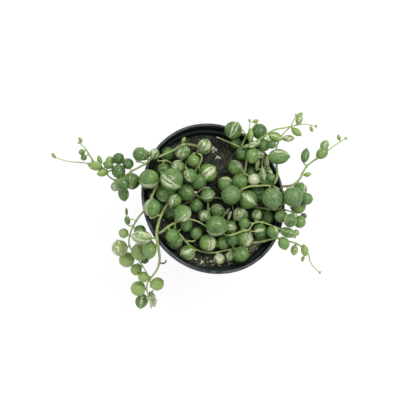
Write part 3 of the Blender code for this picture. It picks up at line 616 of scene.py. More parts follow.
def place_leaf(leaf: Leaf, stem: np.ndarray, bed: Bed, owner: int) -> PlacedLeaf:
    """Settle one leaf by its stem and find where its petiole starts."""
    plan = np.hypot(stem[:, 0] - leaf.x, stem[:, 1] - leaf.y)
    near = stem[int(plan.argmin())]
    half_height = 0.5 * leaf.wide
    height = max(near[2] + leaf.lift - LEAF_HANG * leaf.wide, ground(leaf.x, leaf.y) + half_height + GAP)
    centre = Vector((leaf.x, leaf.y, height))
    heading = math.radians(leaf.heading)
    axis = Vector((math.cos(heading), math.sin(heading), LEAF_RISE)).normalized()
    centre += bed.settle(leaf_spheres(leaf, centre, axis))
    body = leaf_spheres(leaf, centre, axis)
    base = centre - axis * (0.5 * leaf.long) if leaf.long else centre
    order = np.argsort(np.linalg.norm(stem[:, :3] - np.array(base), axis=1))
    for index in order[:FOOT_CHOICES]:
        foot = Vector(stem[index, :3])
        end = base if leaf.long else centre + (foot - centre).normalized() * half_height
        neck = petiole_spheres(foot, end, stem[index, 3])
        if neck is None or bed.room(neck, ignore=owner) > NECK_CLEAR:
            break
    if not leaf.long:
        axis = (centre - foot).normalized()
    bed.add(body)
    if neck is not None:
        bed.add(neck)
    return PlacedLeaf(leaf, centre, axis, foot)


def lay_out(bed: Bed) -> list[LaidStrand]:
    """Lay every strand in order on the bed."""
    laid = []
    for number, strand in enumerate(STRANDS):
        stem = lay_stem(strand.route, bed)
        bed.add(stem + (0.0, 0.0, 0.0, STEM_MARGIN), owner=number)
        leaves = [place_leaf(leaf, stem, bed, number) for leaf in strand.leaves]
        laid.append(LaidStrand(strand, stem, leaves))
    return laid


# ---------------------------------------------------------------- modelling by hand


def clear_selection() -> None:
    """Deselect everything, so that an operator acts only on what comes next."""
    for thing in bpy.context.view_layer.objects:
        thing.select_set(False)


def take(thing: Thing) -> None:
    """Make one object the only one selected, and the active one."""
    clear_selection()
    thing.select_set(True)
    bpy.context.view_layer.objects.active = thing


@contextmanager
def editing(thing: Thing) -> Iterator[None]:
    """Edit mode on one object's vertices, for as long as the block lasts."""
    take(thing)
    bpy.ops.object.mode_set(mode='EDIT')
    bpy.ops.mesh.select_mode(type='VERT')
    yield
    bpy.ops.object.mode_set(mode='OBJECT')


def pick(thing: Thing, test: Callable[[Vector], bool]) -> None:
    """Select the vertices, in edit mode, whose place passes a test."""
    mesh = bmesh.from_edit_mesh(thing.data)
    bpy.ops.mesh.select_all(action='DESELECT')
    for vert in mesh.verts:
        vert.select_set(test(vert.co))
    mesh.select_flush(True)
    bmesh.update_edit_mesh(thing.data)


def settle_mesh(thing: Thing) -> None:
    """Put an object's place, turn and size into its mesh."""
    take(thing)
    bpy.ops.object.transform_apply(location=True, rotation=True, scale=True)


def press_oval(thing: Thing) -> None:
    """Press a round solid to the oval of the pot's mouth."""
    thing.rotation_euler.z = MOUTH_TURN
    thing.scale = (MOUTH_LONG, MOUTH_SHORT, 1.0)
    settle_mesh(thing)


def apply_modifiers(thing: Thing) -> None:
    """Apply every modifier, in order."""
    take(thing)
    for modifier in list(thing.modifiers):
        bpy.ops.object.modifier_apply(modifier=modifier.name)


def smooth(thing: Thing, angle: float = 180.0) -> None:
    """Shade a mesh smooth, and keep the edges sharper than an angle."""
    take(thing)
    if angle < 180.0:
        bpy.ops.object.shade_smooth_by_angle(angle=math.radians(angle))
    else:
        bpy.ops.object.shade_smooth()


def close_and_face_out(thing: Thing) -> None:
    """Merge doubled vertices and turn every face outwards."""
    with editing(thing):
        bpy.ops.mesh.select_all(action='SELECT')
        bpy.ops.mesh.remove_doubles(threshold=0.01 * MM)
        bpy.ops.mesh.normals_make_consistent(inside=False)


def join(things: Sequence[Thing], name: str) -> Thing:
    """Join objects into the first one and name it."""
    take(things[0])
    for thing in things:
        thing.select_set(True)
    bpy.ops.object.join()
    things[0].name = name
    things[0].data.name = name
    return things[0]


def copy_at(master: Thing, place: Matrix) -> Thing:
    """A copy of a master with its own mesh, laid at a place given in millimetres."""
    mesh = master.data.copy()
    mesh.transform(Matrix.Scale(MM, 4) @ place)
    thing = bpy.data.objects.new(master.name, mesh)
    bpy.context.scene.collection.objects.link(thing)
    return thing


def points_of(thing: Thing) -> np.ndarray:
    """The place of every vertex, in metres."""
    points = np.zeros(len(thing.data.vertices) * 3, np.float32)
    thing.data.vertices.foreach_get("co", points)
    return points.reshape(-1, 3)


def mark(thing: Thing, name: str, colours: Sequence[Sequence[float]] | Sequence[float]) -> None:
    """Give a mesh a colour attribute: the same four numbers all over, or four for each vertex."""
    values = thing.data.attributes.new(name, 'FLOAT_COLOR', 'POINT')
    rows = np.broadcast_to(np.array(colours, np.float32), (len(thing.data.vertices), 4))
    values.data.foreach_set("color", rows.flatten())


def tone_by_place(thing: Thing, name: str, rule: Callable[[float, float, float], float]) -> None:
    """Give each vertex a tone worked out from its place in millimetres."""
    mark(thing, name, [(rule(*(vert.co / MM)), 0.0, 0.0, 1.0) for vert in thing.data.vertices])


def drop(*things: Thing) -> None:
    """Remove masters and cutters that aren't part of the object."""
    for thing in things:
        bpy.data.objects.remove(thing)


def extruded_rings(name: str, profile: Sequence[Pair], sides: int) -> Thing:
    """A round closed solid: a circle extruded ring by ring, with both ends drawn to a point.

    Args:
        name: The object's name.
        profile: Radius and height of each ring, in millimetres, from one end to the other.
        sides: How many sides the rings have.

    Returns:
        The solid, with its place in its mesh.
    """
    radius, height = profile[0]
    clear_selection()
    bpy.ops.mesh.primitive_circle_add(vertices=sides, radius=radius * MM, location=(0.0, 0.0, height * MM))
    thing = bpy.context.object
    thing.name = name
    settle_mesh(thing)
    with editing(thing):
        bpy.ops.mesh.select_all(action='SELECT')
        for next_radius, next_height in profile[1:]:
            bpy.ops.mesh.extrude_region_move(
                TRANSFORM_OT_translate={"value": (0.0, 0.0, (next_height - height) * MM)})
            share = next_radius / radius
            bpy.ops.transform.resize(value=(share, share, 1.0), center_override=(0.0, 0.0, next_height * MM))
            radius, height = next_radius, next_height
        bpy.ops.mesh.merge(type='CENTER')
        start_radius, start_height = profile[0]
        pick(thing, lambda co: co.xy.length < (start_radius + 0.01) * MM
             and abs(co.z - start_height * MM) < 0.01 * MM)
        bpy.ops.mesh.merge(type='CENTER')
    close_and_face_out(thing)
    return thing


def tubes(name: str, runs: Sequence[np.ndarray], roundness: int) -> Thing:
    """One mesh of closed round tubes.

    Args:
        name: The object's name.
        runs: Each tube's rows of x, y, z and radius, in millimetres.
        roundness: The bevel's resolution.

    Returns:
        The mesh object, shaded smooth.
    """
    curve = bpy.data.curves.new(name, 'CURVE')
    curve.dimensions = '3D'
    curve.bevel_depth = MM
    curve.bevel_resolution = roundness
    curve.use_fill_caps = True
    for run in runs:
        spline = curve.splines.new('POLY')
        spline.points.add(len(run) - 1)
        for knot, (x, y, z, radius) in zip(spline.points, run):
            knot.co = (x * MM, y * MM, z * MM, 1.0)
            knot.radius = radius
    thing = bpy.data.objects.new(name, curve)
    bpy.context.scene.collection.objects.link(thing)
    take(thing)
    bpy.ops.object.convert(target='MESH')
    thing = bpy.context.object
    close_and_face_out(thing)
    smooth(thing)
    return thing


def tapered(path: np.ndarray, thick_from: float, thick_to: float) -> np.ndarray:
    """A path as a tube's run, from one radius to another."""
    return np.column_stack((path, np.linspace(thick_from, thick_to, len(path))))


def bow(start: Vector, lead: Vector, arrive: Vector, end: Vector) -> np.ndarray:
    """Nine points along a curve that leaves towards one handle and arrives from another."""
    points = []
    for share in np.linspace(0.0, 1.0, 9):
        rest = 1.0 - share
        points.append(start * rest ** 3 + lead * (3 * rest ** 2 * share)
                      + arrive * (3 * rest * share ** 2) + end * share ** 3)
    return np.array(points)


def hand_over(thing: Thing, material: bpy.types.Material, slot: str, *nodes: str) -> None:
    """Dress a finished piece, let it ride on the object and stand for its solids."""
    thing.data.materials.clear()
    thing.data.materials.append(material)
    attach(thing, "root")
    if nodes:
        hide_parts(*nodes)
    LOG.info("%s: %d faces", thing.name, len(thing.data.polygons))


# ---------------------------------------------------------------- finishes


class Value:
    """An output in a node graph, which plain arithmetic adds nodes to."""

    def __init__(self, graph: Graph, socket: Socket) -> None:
        """Keep the output and the graph that it is in."""
        self.graph = graph
        self.socket = socket

    def __add__(self, other: Feed) -> Value:
        """The sum of the two."""
        return self.graph.math('ADD', self, other)

    def __sub__(self, other: Feed) -> Value:
        """What is left with the other taken off."""
        return self.graph.math('SUBTRACT', self, other)

    def __rsub__(self, other: Feed) -> Value:
        """What is left of the other with this taken off."""
        return self.graph.math('SUBTRACT', other, self)

    def __mul__(self, other: Feed) -> Value:
        """The product of the two."""
        return self.graph.math('MULTIPLY', self, other)

    def __truediv__(self, other: Feed) -> Value:
        """The quotient of the two."""
        return self.graph.math('DIVIDE', self, other)

    def __abs__(self) -> Value:
        """The size without its sign."""
        return self.graph.math('ABSOLUTE', self)

    def root(self) -> Value:
        """The square root."""
        return self.graph.math('SQRT', self)

    def sine(self) -> Value:
        """The sine."""
        return self.graph.math('SINE', self)

    def or_more(self, other: Feed) -> Value:
        """The greater of the two."""
        return self.graph.math('MAXIMUM', self, other)

    def ease(self, low: Feed, high: Feed) -> Value:
        """From 0 at the first limit to 1 at the second, smoothly. The limits may be outputs."""
        return self.graph.node('ShaderNodeMapRange', {0: self, 1: low, 2: high}, interpolation_type='SMOOTHSTEP')

    def parts(self) -> tuple[Value, Value, Value]:
        """The three parts of a vector or a colour."""
        node = self.graph.add('ShaderNodeSeparateXYZ', {0: self})
        return tuple(Value(self.graph, socket) for socket in node.outputs)


Feed = Union[Value, float, Sequence[float]]


class Graph:
    """The node graph of one material or of the world, with short calls for its nodes."""

    def __init__(self, owner: Union[bpy.types.Material, bpy.types.World]) -> None:
        """Open the graph of a new material or world."""
        owner.use_nodes = True
        self.owner = owner
        self.nodes = owner.node_tree.nodes
        self.links = owner.node_tree.links

    def feed(self, node: bpy.types.Node, key: Union[str, int], value: Feed) -> None:
        """Link a node's input to an output, or set it to a plain value."""
        socket = node.inputs[key]
        if isinstance(value, Value):
            self.links.new(value.socket, socket)
        elif socket.type == 'RGBA' and len(value) == 3:
            socket.default_value = (*value, 1.0)
        else:
            socket.default_value = value

    def add(self, kind: str, inputs: dict[Union[str, int], Feed], **settings: str) -> bpy.types.Node:
        """A node with its settings made and its inputs fed, by name or by number."""
        node = self.nodes.new(kind)
        for name, value in settings.items():
            setattr(node, name, value)
        for key, value in inputs.items():
            self.feed(node, key, value)
        return node

    def node(self, kind: str, inputs: dict[Union[str, int], Feed], output: Union[str, int] = 0,
             **settings: str) -> Value:
        """One output of a new node."""
        return Value(self, self.add(kind, inputs, **settings).outputs[output])

    def math(self, operation: str, *values: Feed) -> Value:
        """The result of a maths operation."""
        return self.node('ShaderNodeMath', dict(enumerate(values)), operation=operation)

    def mix(self, share: Feed, first: Feed, second: Feed) -> Value:
        """A colour between two others."""
        return self.node('ShaderNodeMix', {0: share, 6: first, 7: second}, 2, data_type='RGBA')

    def noise(self, vector: Value, scale: float, detail: float = 1.0, seed: Feed = 0.0) -> Value:
        """Smooth noise about 0.5, with a seed that moves it."""
        inputs = {"Vector": vector, "Scale": scale, "Detail": detail, "W": seed}
        return self.node('ShaderNodeTexNoise', inputs, noise_dimensions='4D')

    def attribute(self, name: str, output: str = "Color") -> Value:
        """A mesh attribute."""
        return self.node('ShaderNodeAttribute', {}, output, attribute_name=name)

    def place(self) -> Value:
        """Object coordinates."""
        return self.node('ShaderNodeTexCoord', {}, "Object")

    def vector(self, x: Feed, y: Feed, z: Feed) -> Value:
        """A vector of three parts."""
        return self.node('ShaderNodeCombineXYZ', {0: x, 1: y, 2: z})

    def stretch(self, vector: Value, scale: Place) -> Value:
        """A vector scaled by different amounts each way."""
        return self.node('ShaderNodeMapping', {"Vector": vector, "Scale": scale})

    def seen(self) -> Value:
        """1 for what the camera sees, straight or mirrored or through, and 0 for light."""
        rays = [self.node('ShaderNodeLightPath', {}, f"Is {kind} Ray")
                for kind in ("Camera", "Glossy", "Transmission")]
        return rays[0].or_more(rays[1]).or_more(rays[2])

    def bump(self, height: Value, distance: float) -> None:
        """Give the shader a relief of a depth in metres."""
        normal = self.node('ShaderNodeBump', {"Height": height, "Distance": distance, "Strength": 1.0})
        self.feed(self.nodes["Principled BSDF"], "Normal", normal)

    def finish(self, colour: Feed, roughness: Feed, **fixed: Feed) -> bpy.types.Material:
        """Feed the shader its colour, its roughness and the values that are the same all over.

        Args:
            colour: The base colour.
            roughness: The roughness.
            fixed: Other inputs, with underscores for the spaces in their names.

        Returns:
            The finished material.
        """
        for name, value in {"Base_Color": colour, "Roughness": roughness, **fixed}.items():
            self.feed(self.nodes["Principled BSDF"], name.replace("_", " "), value)
        return self.owner


class LeafGraph(Graph):
    """The graph of the leaves' skin, with what it reads from each leaf's attributes."""

    def __init__(self, name: str) -> None:
        """Read the pattern, the tone and the place on the leaf, whose tip is at 1 on z."""
        super().__init__(bpy.data.materials.new(name))
        self.stripes, self.band, self.slit = self.attribute("leaf_look").parts()
        self.bloom, self.youth, self.light = self.attribute("leaf_tone").parts()
        self.seed = self.attribute("leaf_look", "Alpha") * 23.0
        self.lean = self.attribute("leaf_tone", "Alpha")
        self.spot = self.attribute("leaf_co", "Vector")
        self.x, self.y, self.z = self.spot.parts()
        self.wobble = self.patches(2.6, 2.0) - 0.5
        girth = (self.x * self.x + self.y * self.y).root().or_more(0.3)
        self.across = self.y / girth + self.wobble * 0.16
        self.meridian = self.vector(self.x / girth, self.across, self.z * 0.42)
        self.facing = self.x.ease(0.0, 0.12)

    def patches(self, scale: float, detail: float = 1.0) -> Value:
        """Noise that lies in patches on the leaf."""
        return self.noise(self.spot, scale, detail, self.seed)

    def streaks(self, scale: float, detail: float = 1.0) -> Value:
        """Noise that hardly changes along the leaf, so that it runs from base to tip."""
        return self.noise(self.meridian, scale, detail, self.seed)


@dataclass(frozen=True)
class LeafSkin:
    """The variegated skin of a leaf: greens, cream along its length and the dark slit of its window."""

    deep: Colour = (0.025, 0.094, 0.021)
    fresh: Colour = (0.184, 0.334, 0.080)
    young: Colour = (0.32, 0.445, 0.10)
    # partly a paler green and partly painted light: the colour that leaves with light over 1 are brightened towards
    pale_and_painted_light: Colour = (0.46, 0.575, 0.19)
    wax: Colour = (0.19, 0.285, 0.14)
    halo: Colour = (0.23, 0.34, 0.13)
    cream: Colour = (0.71, 0.75, 0.51)
    cream_dim: Colour = (0.34, 0.42, 0.21)
    slit: Colour = (0.020, 0.058, 0.020)
    base: Colour = (0.22, 0.31, 0.09)
    nib: Colour = (0.15, 0.12, 0.045)
    relief: float = 0.00010

    def material(self) -> bpy.types.Material:
        """The skin, which reads each leaf's own pattern from its attributes."""
        leaf = LeafGraph("variegated_leaf_skin")
        streaks = leaf.streaks(2.3, 0.0) * 0.62 + leaf.streaks(6.0) * 0.38
        limit = 0.78 - leaf.stripes * 0.62
        cream = streaks.ease(limit - 0.03, limit + 0.03).or_more(self.window(leaf))
        halo = streaks.ease(limit - 0.085, limit + 0.01)
        whiteness = leaf.streaks(5.0, 2.0) * 1.9 + leaf.light * 0.8 - leaf.bloom * 0.9 - 0.86
        pale = leaf.mix(whiteness.ease(0.0, 1.0), self.cream_dim, self.cream)
        specks = leaf.patches(8.0, 3.0).ease(0.55, 0.70) * 0.34 + leaf.streaks(11.0).ease(0.48, 0.66) * 0.24
        line = self.line(leaf)
        colour = leaf.mix(specks, self.green(leaf), self.halo)
        colour = leaf.mix(self.threads(leaf), colour, self.cream_dim)
        colour = leaf.mix(halo * 0.5, colour, self.halo)
        colour = leaf.mix(cream, colour, pale)
        colour = leaf.mix(line, colour, self.slit)
        colour = leaf.mix(leaf.z.ease(-0.86, -0.985), colour, self.base)
        colour = leaf.mix(leaf.z.ease(0.988, 0.999), colour, self.nib)
        grain = leaf.patches(26.0, 2.0)
        leaf.bump(leaf.patches(4.5, 2.0) * 1.1 + grain * 0.35 - line * 1.6, self.relief)
        gloss = leaf.bloom * 0.12 + grain * 0.20 + 0.07
        return leaf.finish(colour, gloss, Specular_IOR_Level=0.36, Subsurface_Weight=0.1,
                           Subsurface_Radius=(0.5, 1.0, 0.3), Subsurface_Scale=0.0012)

    def threads(self, leaf: LeafGraph) -> Value:
        """Fine pale veins along the leaf, which come and go."""
        away = abs(leaf.streaks(4.4) - 0.5)
        return away.ease(0.034, 0.006) * leaf.patches(2.4).ease(0.42, 0.60) * 0.62

    def window(self, leaf: LeafGraph) -> Value:
        """How much cream lies beside the window, cut by fine green lines."""
        aside = (leaf.seed * 5.0).sine() * 0.08 + leaf.lean * 0.34
        away = abs(leaf.across - aside) + leaf.streaks(2.4, 2.0) * 0.56
        edge = leaf.band + 0.25
        cut_from = 0.69 - leaf.stripes * 0.4
        cuts = leaf.streaks(8.0, 0.0).ease(cut_from, cut_from - 0.07)
        return away.ease(edge, edge - 0.07) * cuts * leaf.facing * leaf.band.ease(0.02, 0.12)

    def line(self, leaf: LeafGraph) -> Value:
        """The dark slit of the window, which narrows towards both ends."""
        away = abs(leaf.y + leaf.wobble * 0.10) + leaf.z * leaf.z * 0.085
        return away.ease(0.125, 0.045) * leaf.facing * leaf.slit

    def green(self, leaf: LeafGraph) -> Value:
        """The green of the flesh, mottled, with the yellow of new growth and the wax's blue."""
        patch = leaf.patches(1.9, 4.0) - 0.5
        colour = leaf.mix(patch * 1.5 + leaf.light, self.deep, self.fresh)
        lit = leaf.noise(leaf.spot, 0.9, 1.0, leaf.seed + 7.0).ease(0.46, 0.72)
        colour = leaf.mix(lit * 0.24 + leaf.youth * 0.8, colour, self.young)
        # partly painted light: leaves with light over 1, most of them on the hanging strands, are brightened towards
        # a pale green
        colour = leaf.mix(leaf.light.ease(1.0, 2.0), colour, self.pale_and_painted_light)
        return leaf.mix(leaf.bloom * (patch * 0.8 + 0.5), colour, self.wax)


@dataclass(frozen=True)
class StemSkin:
    """Stem and petiole: fresh green where young, duller and browner where old, white where cut."""

    young: Colour = (0.46, 0.56, 0.22)
    grown: Colour = (0.32, 0.42, 0.14)
    old: Colour = (0.15, 0.165, 0.062)
    cut: Colour = (0.82, 0.79, 0.70)
    relief: float = 0.00012

    def material(self) -> bpy.types.Material:
        """The skin, which reads age and cut from the stem's attribute."""
        graph = Graph(bpy.data.materials.new("stem_skin"))
        age, cut, seed = graph.attribute("stem_tone").parts()
        place = graph.place()
        shade = graph.noise(place, 420.0, 2.0, seed)
        age = (shade - 0.5) * 0.7 + age
        speck = graph.noise(place, 1500.0).ease(0.66, 0.72)
        colour = graph.mix(age.ease(0.0, 0.5), self.young, self.grown)
        colour = graph.mix(age.ease(0.6, 1.05), colour, self.old)
        colour = graph.mix(cut.ease(0.3, 0.8), colour, self.cut)
        colour = graph.mix(speck * 0.5, colour, self.old)
        graph.bump(graph.noise(place, 2600.0, 2.0), self.relief)
        return graph.finish(colour, shade * 0.3 + 0.32, Specular_IOR_Level=0.35)


@dataclass(frozen=True)
class BlackPlastic:
    """Black moulded plastic with a fine grain, scuffs, a paler lip crown that is partly wear and partly painted
    highlight, and dust above the soil.
    """

    black: Colour = (0.0062, 0.0130, 0.0150)
    scuffed: Colour = (0.034, 0.045, 0.047)
    # partly wear and partly painted highlight: the paler grey of the lip's crown
    wear_and_highlight: Colour = (0.078, 0.088, 0.088)
    dust: Colour = (0.055, 0.048, 0.034)
    relief: float = 0.00005

    def material(self) -> bpy.types.Material:
        """The plastic."""
        graph = Graph(bpy.data.materials.new("black_moulded_plastic"))
        place = graph.place()
        height = place.parts()[2]
        cloud = graph.noise(place, 60.0, 3.0)
        scuff = graph.noise(graph.stretch(place, (0.6, 1.0, 1.4)), 420.0, 4.0).ease(0.58, 0.76)
        # partly wear and partly painted highlight: the crown of the lip is paler in broken patches
        crown = height.ease((POT_HEIGHT - 0.5) * MM, (POT_HEIGHT - 0.05) * MM)
        crown_wear_and_highlight = crown * graph.noise(place, 240.0, 3.0).ease(0.34, 0.60)
        low = height.ease((SOIL_TOP + 8.0) * MM, SOIL_TOP * MM)
        specks = graph.noise(place, 1100.0, 3.0).ease(0.56, 0.68)
        dusty = low * specks * cloud.ease(0.35, 0.6) * graph.attribute("inward").parts()[0]
        colour = graph.mix(scuff * 0.4, self.black, self.scuffed)
        colour = graph.mix(crown_wear_and_highlight, colour, self.wear_and_highlight)
        colour = graph.mix(dusty, colour, self.dust)
        drawn = graph.noise(graph.stretch(place, (1.0, 1.0, 0.05)), 900.0, 2.0)
        graph.bump(graph.noise(place, 3200.0, 2.0) + drawn * 0.6, self.relief)
        return graph.finish(colour, cloud * 0.22 + dusty * 0.4 + 0.26, Specular_IOR_Level=0.24)


@dataclass(frozen=True)
class Peat:
    """Dark potting mix, with lighter fibre and grit in it, and painted shade that darkens it under the heart of the
    plant.
    """

    dark: Colour = (0.022, 0.026, 0.019)
    brown: Colour = (0.074, 0.079, 0.057)
    straw: Colour = (0.24, 0.21, 0.14)
    grit: Colour = (0.46, 0.43, 0.33)
    # painted shade: the colour that the mix is darkened towards under the heart of the plant
    painted_shade: Colour = (0.009, 0.0105, 0.0075)
    relief: float = 0.0009

    def painted_shade_share(self, place: Value) -> Value:
        """1 where shade is painted on the mix under the heart of the plant, and 0 on the open soil."""
        x, y, _ = place.parts()
        along, across = x - SHADE_PAINT_AT[0] * MM, y - SHADE_PAINT_AT[1] * MM
        return (along * along + across * across).root().ease(SHADE_PAINT_REACH[1] * MM, SHADE_PAINT_REACH[0] * MM)

    def material(self) -> bpy.types.Material:
        """The mix."""
        graph = Graph(bpy.data.materials.new("peat"))
        place = graph.place()
        clod = graph.noise(place, 420.0, 4.0)
        fibre = graph.noise(graph.stretch(place, (1.0, 0.22, 1.0)), 1700.0, 2.0).ease(0.60, 0.68)
        fleck = graph.noise(place, 2000.0).ease(0.68, 0.74)
        colour = graph.mix(clod.ease(0.38, 0.66), self.dark, self.brown)
        colour = graph.mix(fibre * 0.75, colour, self.straw)
        colour = graph.mix(fleck * 0.8, colour, self.grit)
        # painted shade: the mix is darkened under the heart of the plant, where the leaves shade it
        colour = graph.mix(self.painted_shade_share(place) * 0.65, colour, self.painted_shade)
        graph.bump(clod + graph.noise(place, 1500.0, 3.0) * 0.6, self.relief)
        return graph.finish(colour, 0.92, Specular_IOR_Level=0.15)


@dataclass(frozen=True)
class Grain:
    """Loose bits that each carry their own tone, from a first colour to a second."""

    name: str
    first: Colour
    second: Colour
    rough: float = 0.9
    fine: float = 1600.0
    relief: float = 0.0003

    def material(self) -> bpy.types.Material:
        """The bits' surface, which reads each bit's own tone."""
        graph = Graph(bpy.data.materials.new(self.name))
        tone = graph.attribute("bit_tone").parts()[0]
        speck = graph.noise(graph.place(), self.fine, 3.0)
        share = (speck - 0.5) * 0.9 + tone
        graph.bump(speck, self.relief)
        return graph.finish(graph.mix(share.ease(0.0, 1.0), self.first, self.second), self.rough,
                            Specular_IOR_Level=0.2)


# ---------------------------------------------------------------- the pot and what lies in it


def on_wall(height: float, inset: float = 0.0) -> Pair:
    """The radius and height of a point on the wall's outer face, or this far inside it."""
    return pot_radius(height) - inset, height


@dataclass
class NurseryPot:
    """The moulded pot: tapered wall, stepped collar, rolled lip, drain holes and stacking ridges."""

    sides: int = 120
    lip_bead: float = 0.85
    lip_steps: int = 8
    lip_from: float = -70.0
    lip_turn: float = 250.0
    ridge: float = 0.22
    ridge_heights: tuple[float, ...] = (12.0, 57.6)
    foot_round: float = 1.3
    sharp_over: float = 38.0

    def profile(self) -> list[Pair]:
        """Radius and height from the middle of the base, out, up, over the lip and down inside."""
        return self.foot() + self.outside() + self.lip() + self.inside()

    def foot(self) -> list[Pair]:
        """The flat base and its rounded edge."""
        flat = BASE_RADIUS - self.foot_round
        rows = [(0.5, 0.0), (12.0, 0.0), (flat, 0.0)]
        for turn in (math.radians(30.0), math.radians(60.0)):
            rows.append((flat + self.foot_round * math.sin(turn), self.foot_round * (1.0 - math.cos(turn))))
        return rows + [on_wall(1.6)]

    def outside(self) -> list[Pair]:
        """Up the wall, over its ridges and out round the collar."""
        rows = []
        for height in self.ridge_heights:
            crest = pot_radius(height) + self.ridge
            rows += [on_wall(height - 1.2), on_wall(height - 0.5), (crest, height - 0.15),
                     (crest, height + 0.15), on_wall(height + 0.5), on_wall(height + 1.2)]
        collar_foot = POT_HEIGHT - COLLAR_HEIGHT
        outer = MOUTH_RADIUS - 0.5
        return rows + [(pot_radius(collar_foot) - 0.02, collar_foot - 0.4), (outer - 0.25, collar_foot - 0.15),
                       (outer, collar_foot + 0.2), (outer, POT_HEIGHT - 2.4)]

    def lip(self) -> list[Pair]:
        """Round the rolled lip."""
        turns = [math.radians(self.lip_from + self.lip_turn * step / self.lip_steps)
                 for step in range(self.lip_steps + 1)]
        return [(MOUTH_RADIUS - self.lip_bead + self.lip_bead * math.cos(turn),
                 POT_HEIGHT - self.lip_bead + self.lip_bead * math.sin(turn)) for turn in turns]

    def inside(self) -> list[Pair]:
        """Down inside the lip, the collar and the wall, and in over the base."""
        collar_foot = POT_HEIGHT - COLLAR_HEIGHT
        inner = MOUTH_RADIUS - LIP_WIDTH
        return [(inner, POT_HEIGHT - 1.9), (inner, collar_foot + 1.9), (inner - 0.25, collar_foot + 1.3),
                (pot_radius(collar_foot) - WALL + 0.1, collar_foot + 0.7), on_wall(collar_foot, WALL),
                on_wall(2.5, WALL), (BASE_RADIUS - WALL - 0.8, WALL), (12.0, WALL), (0.5, WALL)]

    def build(self) -> Thing:
        """Extrude the wall, press the mouth oval and cut the drain holes."""
        pot = extruded_rings("nursery_pot", self.profile(), self.sides)
        press_oval(pot)
        drill = self.drills()
        cut = pot.modifiers.new("drain_holes", 'BOOLEAN')
        cut.object = drill
        cut.solver = 'EXACT'
        apply_modifiers(pot)
        drop(drill)
        close_and_face_out(pot)
        smooth(pot, self.sharp_over)
        tone_by_place(pot, "inward", self.inward)
        return pot

    @staticmethod
    def inward(x: float, y: float, z: float) -> float:
        """1 on the wall's inner face and 0 elsewhere."""
        in_collar = z > POT_HEIGHT - COLLAR_HEIGHT
        middle = MOUTH_RADIUS - 0.5 * LIP_WIDTH if in_collar else pot_radius(z) - 0.5 * WALL
        return 1.0 if z > WALL and reach_from_axis(x, y) < middle else 0.0

    @staticmethod
    def drills() -> Thing:
        """One cutter of a rod for each drain hole."""
        rods = []
        for index in range(DRAIN_COUNT):
            x, y = turned(DRAIN_CIRCLE, 0.0, 2.0 * math.pi * (index + 0.5) / DRAIN_COUNT)
            clear_selection()
            bpy.ops.mesh.primitive_cylinder_add(vertices=28, radius=DRAIN_RADIUS * MM, depth=4.0 * WALL * MM,
                                                location=(x * MM, y * MM, 0.5 * WALL * MM))
            settle_mesh(bpy.context.object)
            rods.append(bpy.context.object)
        return join(rods, "drills")


class Surface:
    """Finds the height of the finished soil."""

    def __init__(self, soil: Thing) -> None:
        """Keep the vertices of the soil's top."""
        points = points_of(soil) / MM
        self.points = points[points[:, 2] > SOIL_TOP - 4.0]

    def height(self, x: float, y: float) -> float:
        """Height of the soil's nearest vertex, in millimetres."""
        away = np.hypot(self.points[:, 0] - x, self.points[:, 1] - y)
        return float(self.points[int(away.argmin()), 2])


def out_of_painted_shade(x: float, y: float) -> float:
    """How far a plan point is out of the shade painted under the heart of the plant, from 0.3 there to 1 in the
    open.
    """
    reach = math.hypot(x - SHADE_PAINT_AT[0], y - SHADE_PAINT_AT[1])
    return min(1.0, max(0.3, (reach - SHADE_PAINT_REACH[0]) / (SHADE_PAINT_REACH[1] - SHADE_PAINT_REACH[0])))


def over_soil(x: float, y: float, margin: float) -> bool:
    """Whether a plan point lies over the soil, this far or more from the pot's wall."""
    return reach_from_axis(x, y) < pot_radius(SOIL_TOP) - WALL - margin


def set_tone(bit: Thing, tone: float) -> None:
    """Give a loose bit its own tone, from 0 to 1."""
    mark(bit, "bit_tone", (tone, 0.0, 0.0, 1.0))


@dataclass
class Scatter:
    """Lays copies of the masters on the soil, each turned at random."""

    masters: Sequence[Thing]
    surface: Surface
    dice: random.Random
    sink: float = 0.15
    tilt: float = 0.4

    def bit(self, master: Thing, x: float, y: float, size: Place, tone: float) -> Thing:
        """A copy of a master at a plan point, of this size each way."""
        turn = Matrix.Rotation(self.dice.uniform(0.0, 2.0 * math.pi), 4, 'Z')
        tilt = Matrix.Rotation(self.dice.uniform(-self.tilt, self.tilt), 4, 'X')
        lie = Matrix.Translation((x, y, self.surface.height(x, y) + self.sink * size[2]))
        bit = copy_at(master, lie @ turn @ tilt @ Matrix.Diagonal((*size, 1.0)))
        set_tone(bit, tone)
        return bit

    def any_bit(self, x: float, y: float, size: Place, tone: float) -> Thing:
        """A copy of a master chosen at random."""
        return self.bit(self.dice.choice(self.masters), x, y, size, tone)


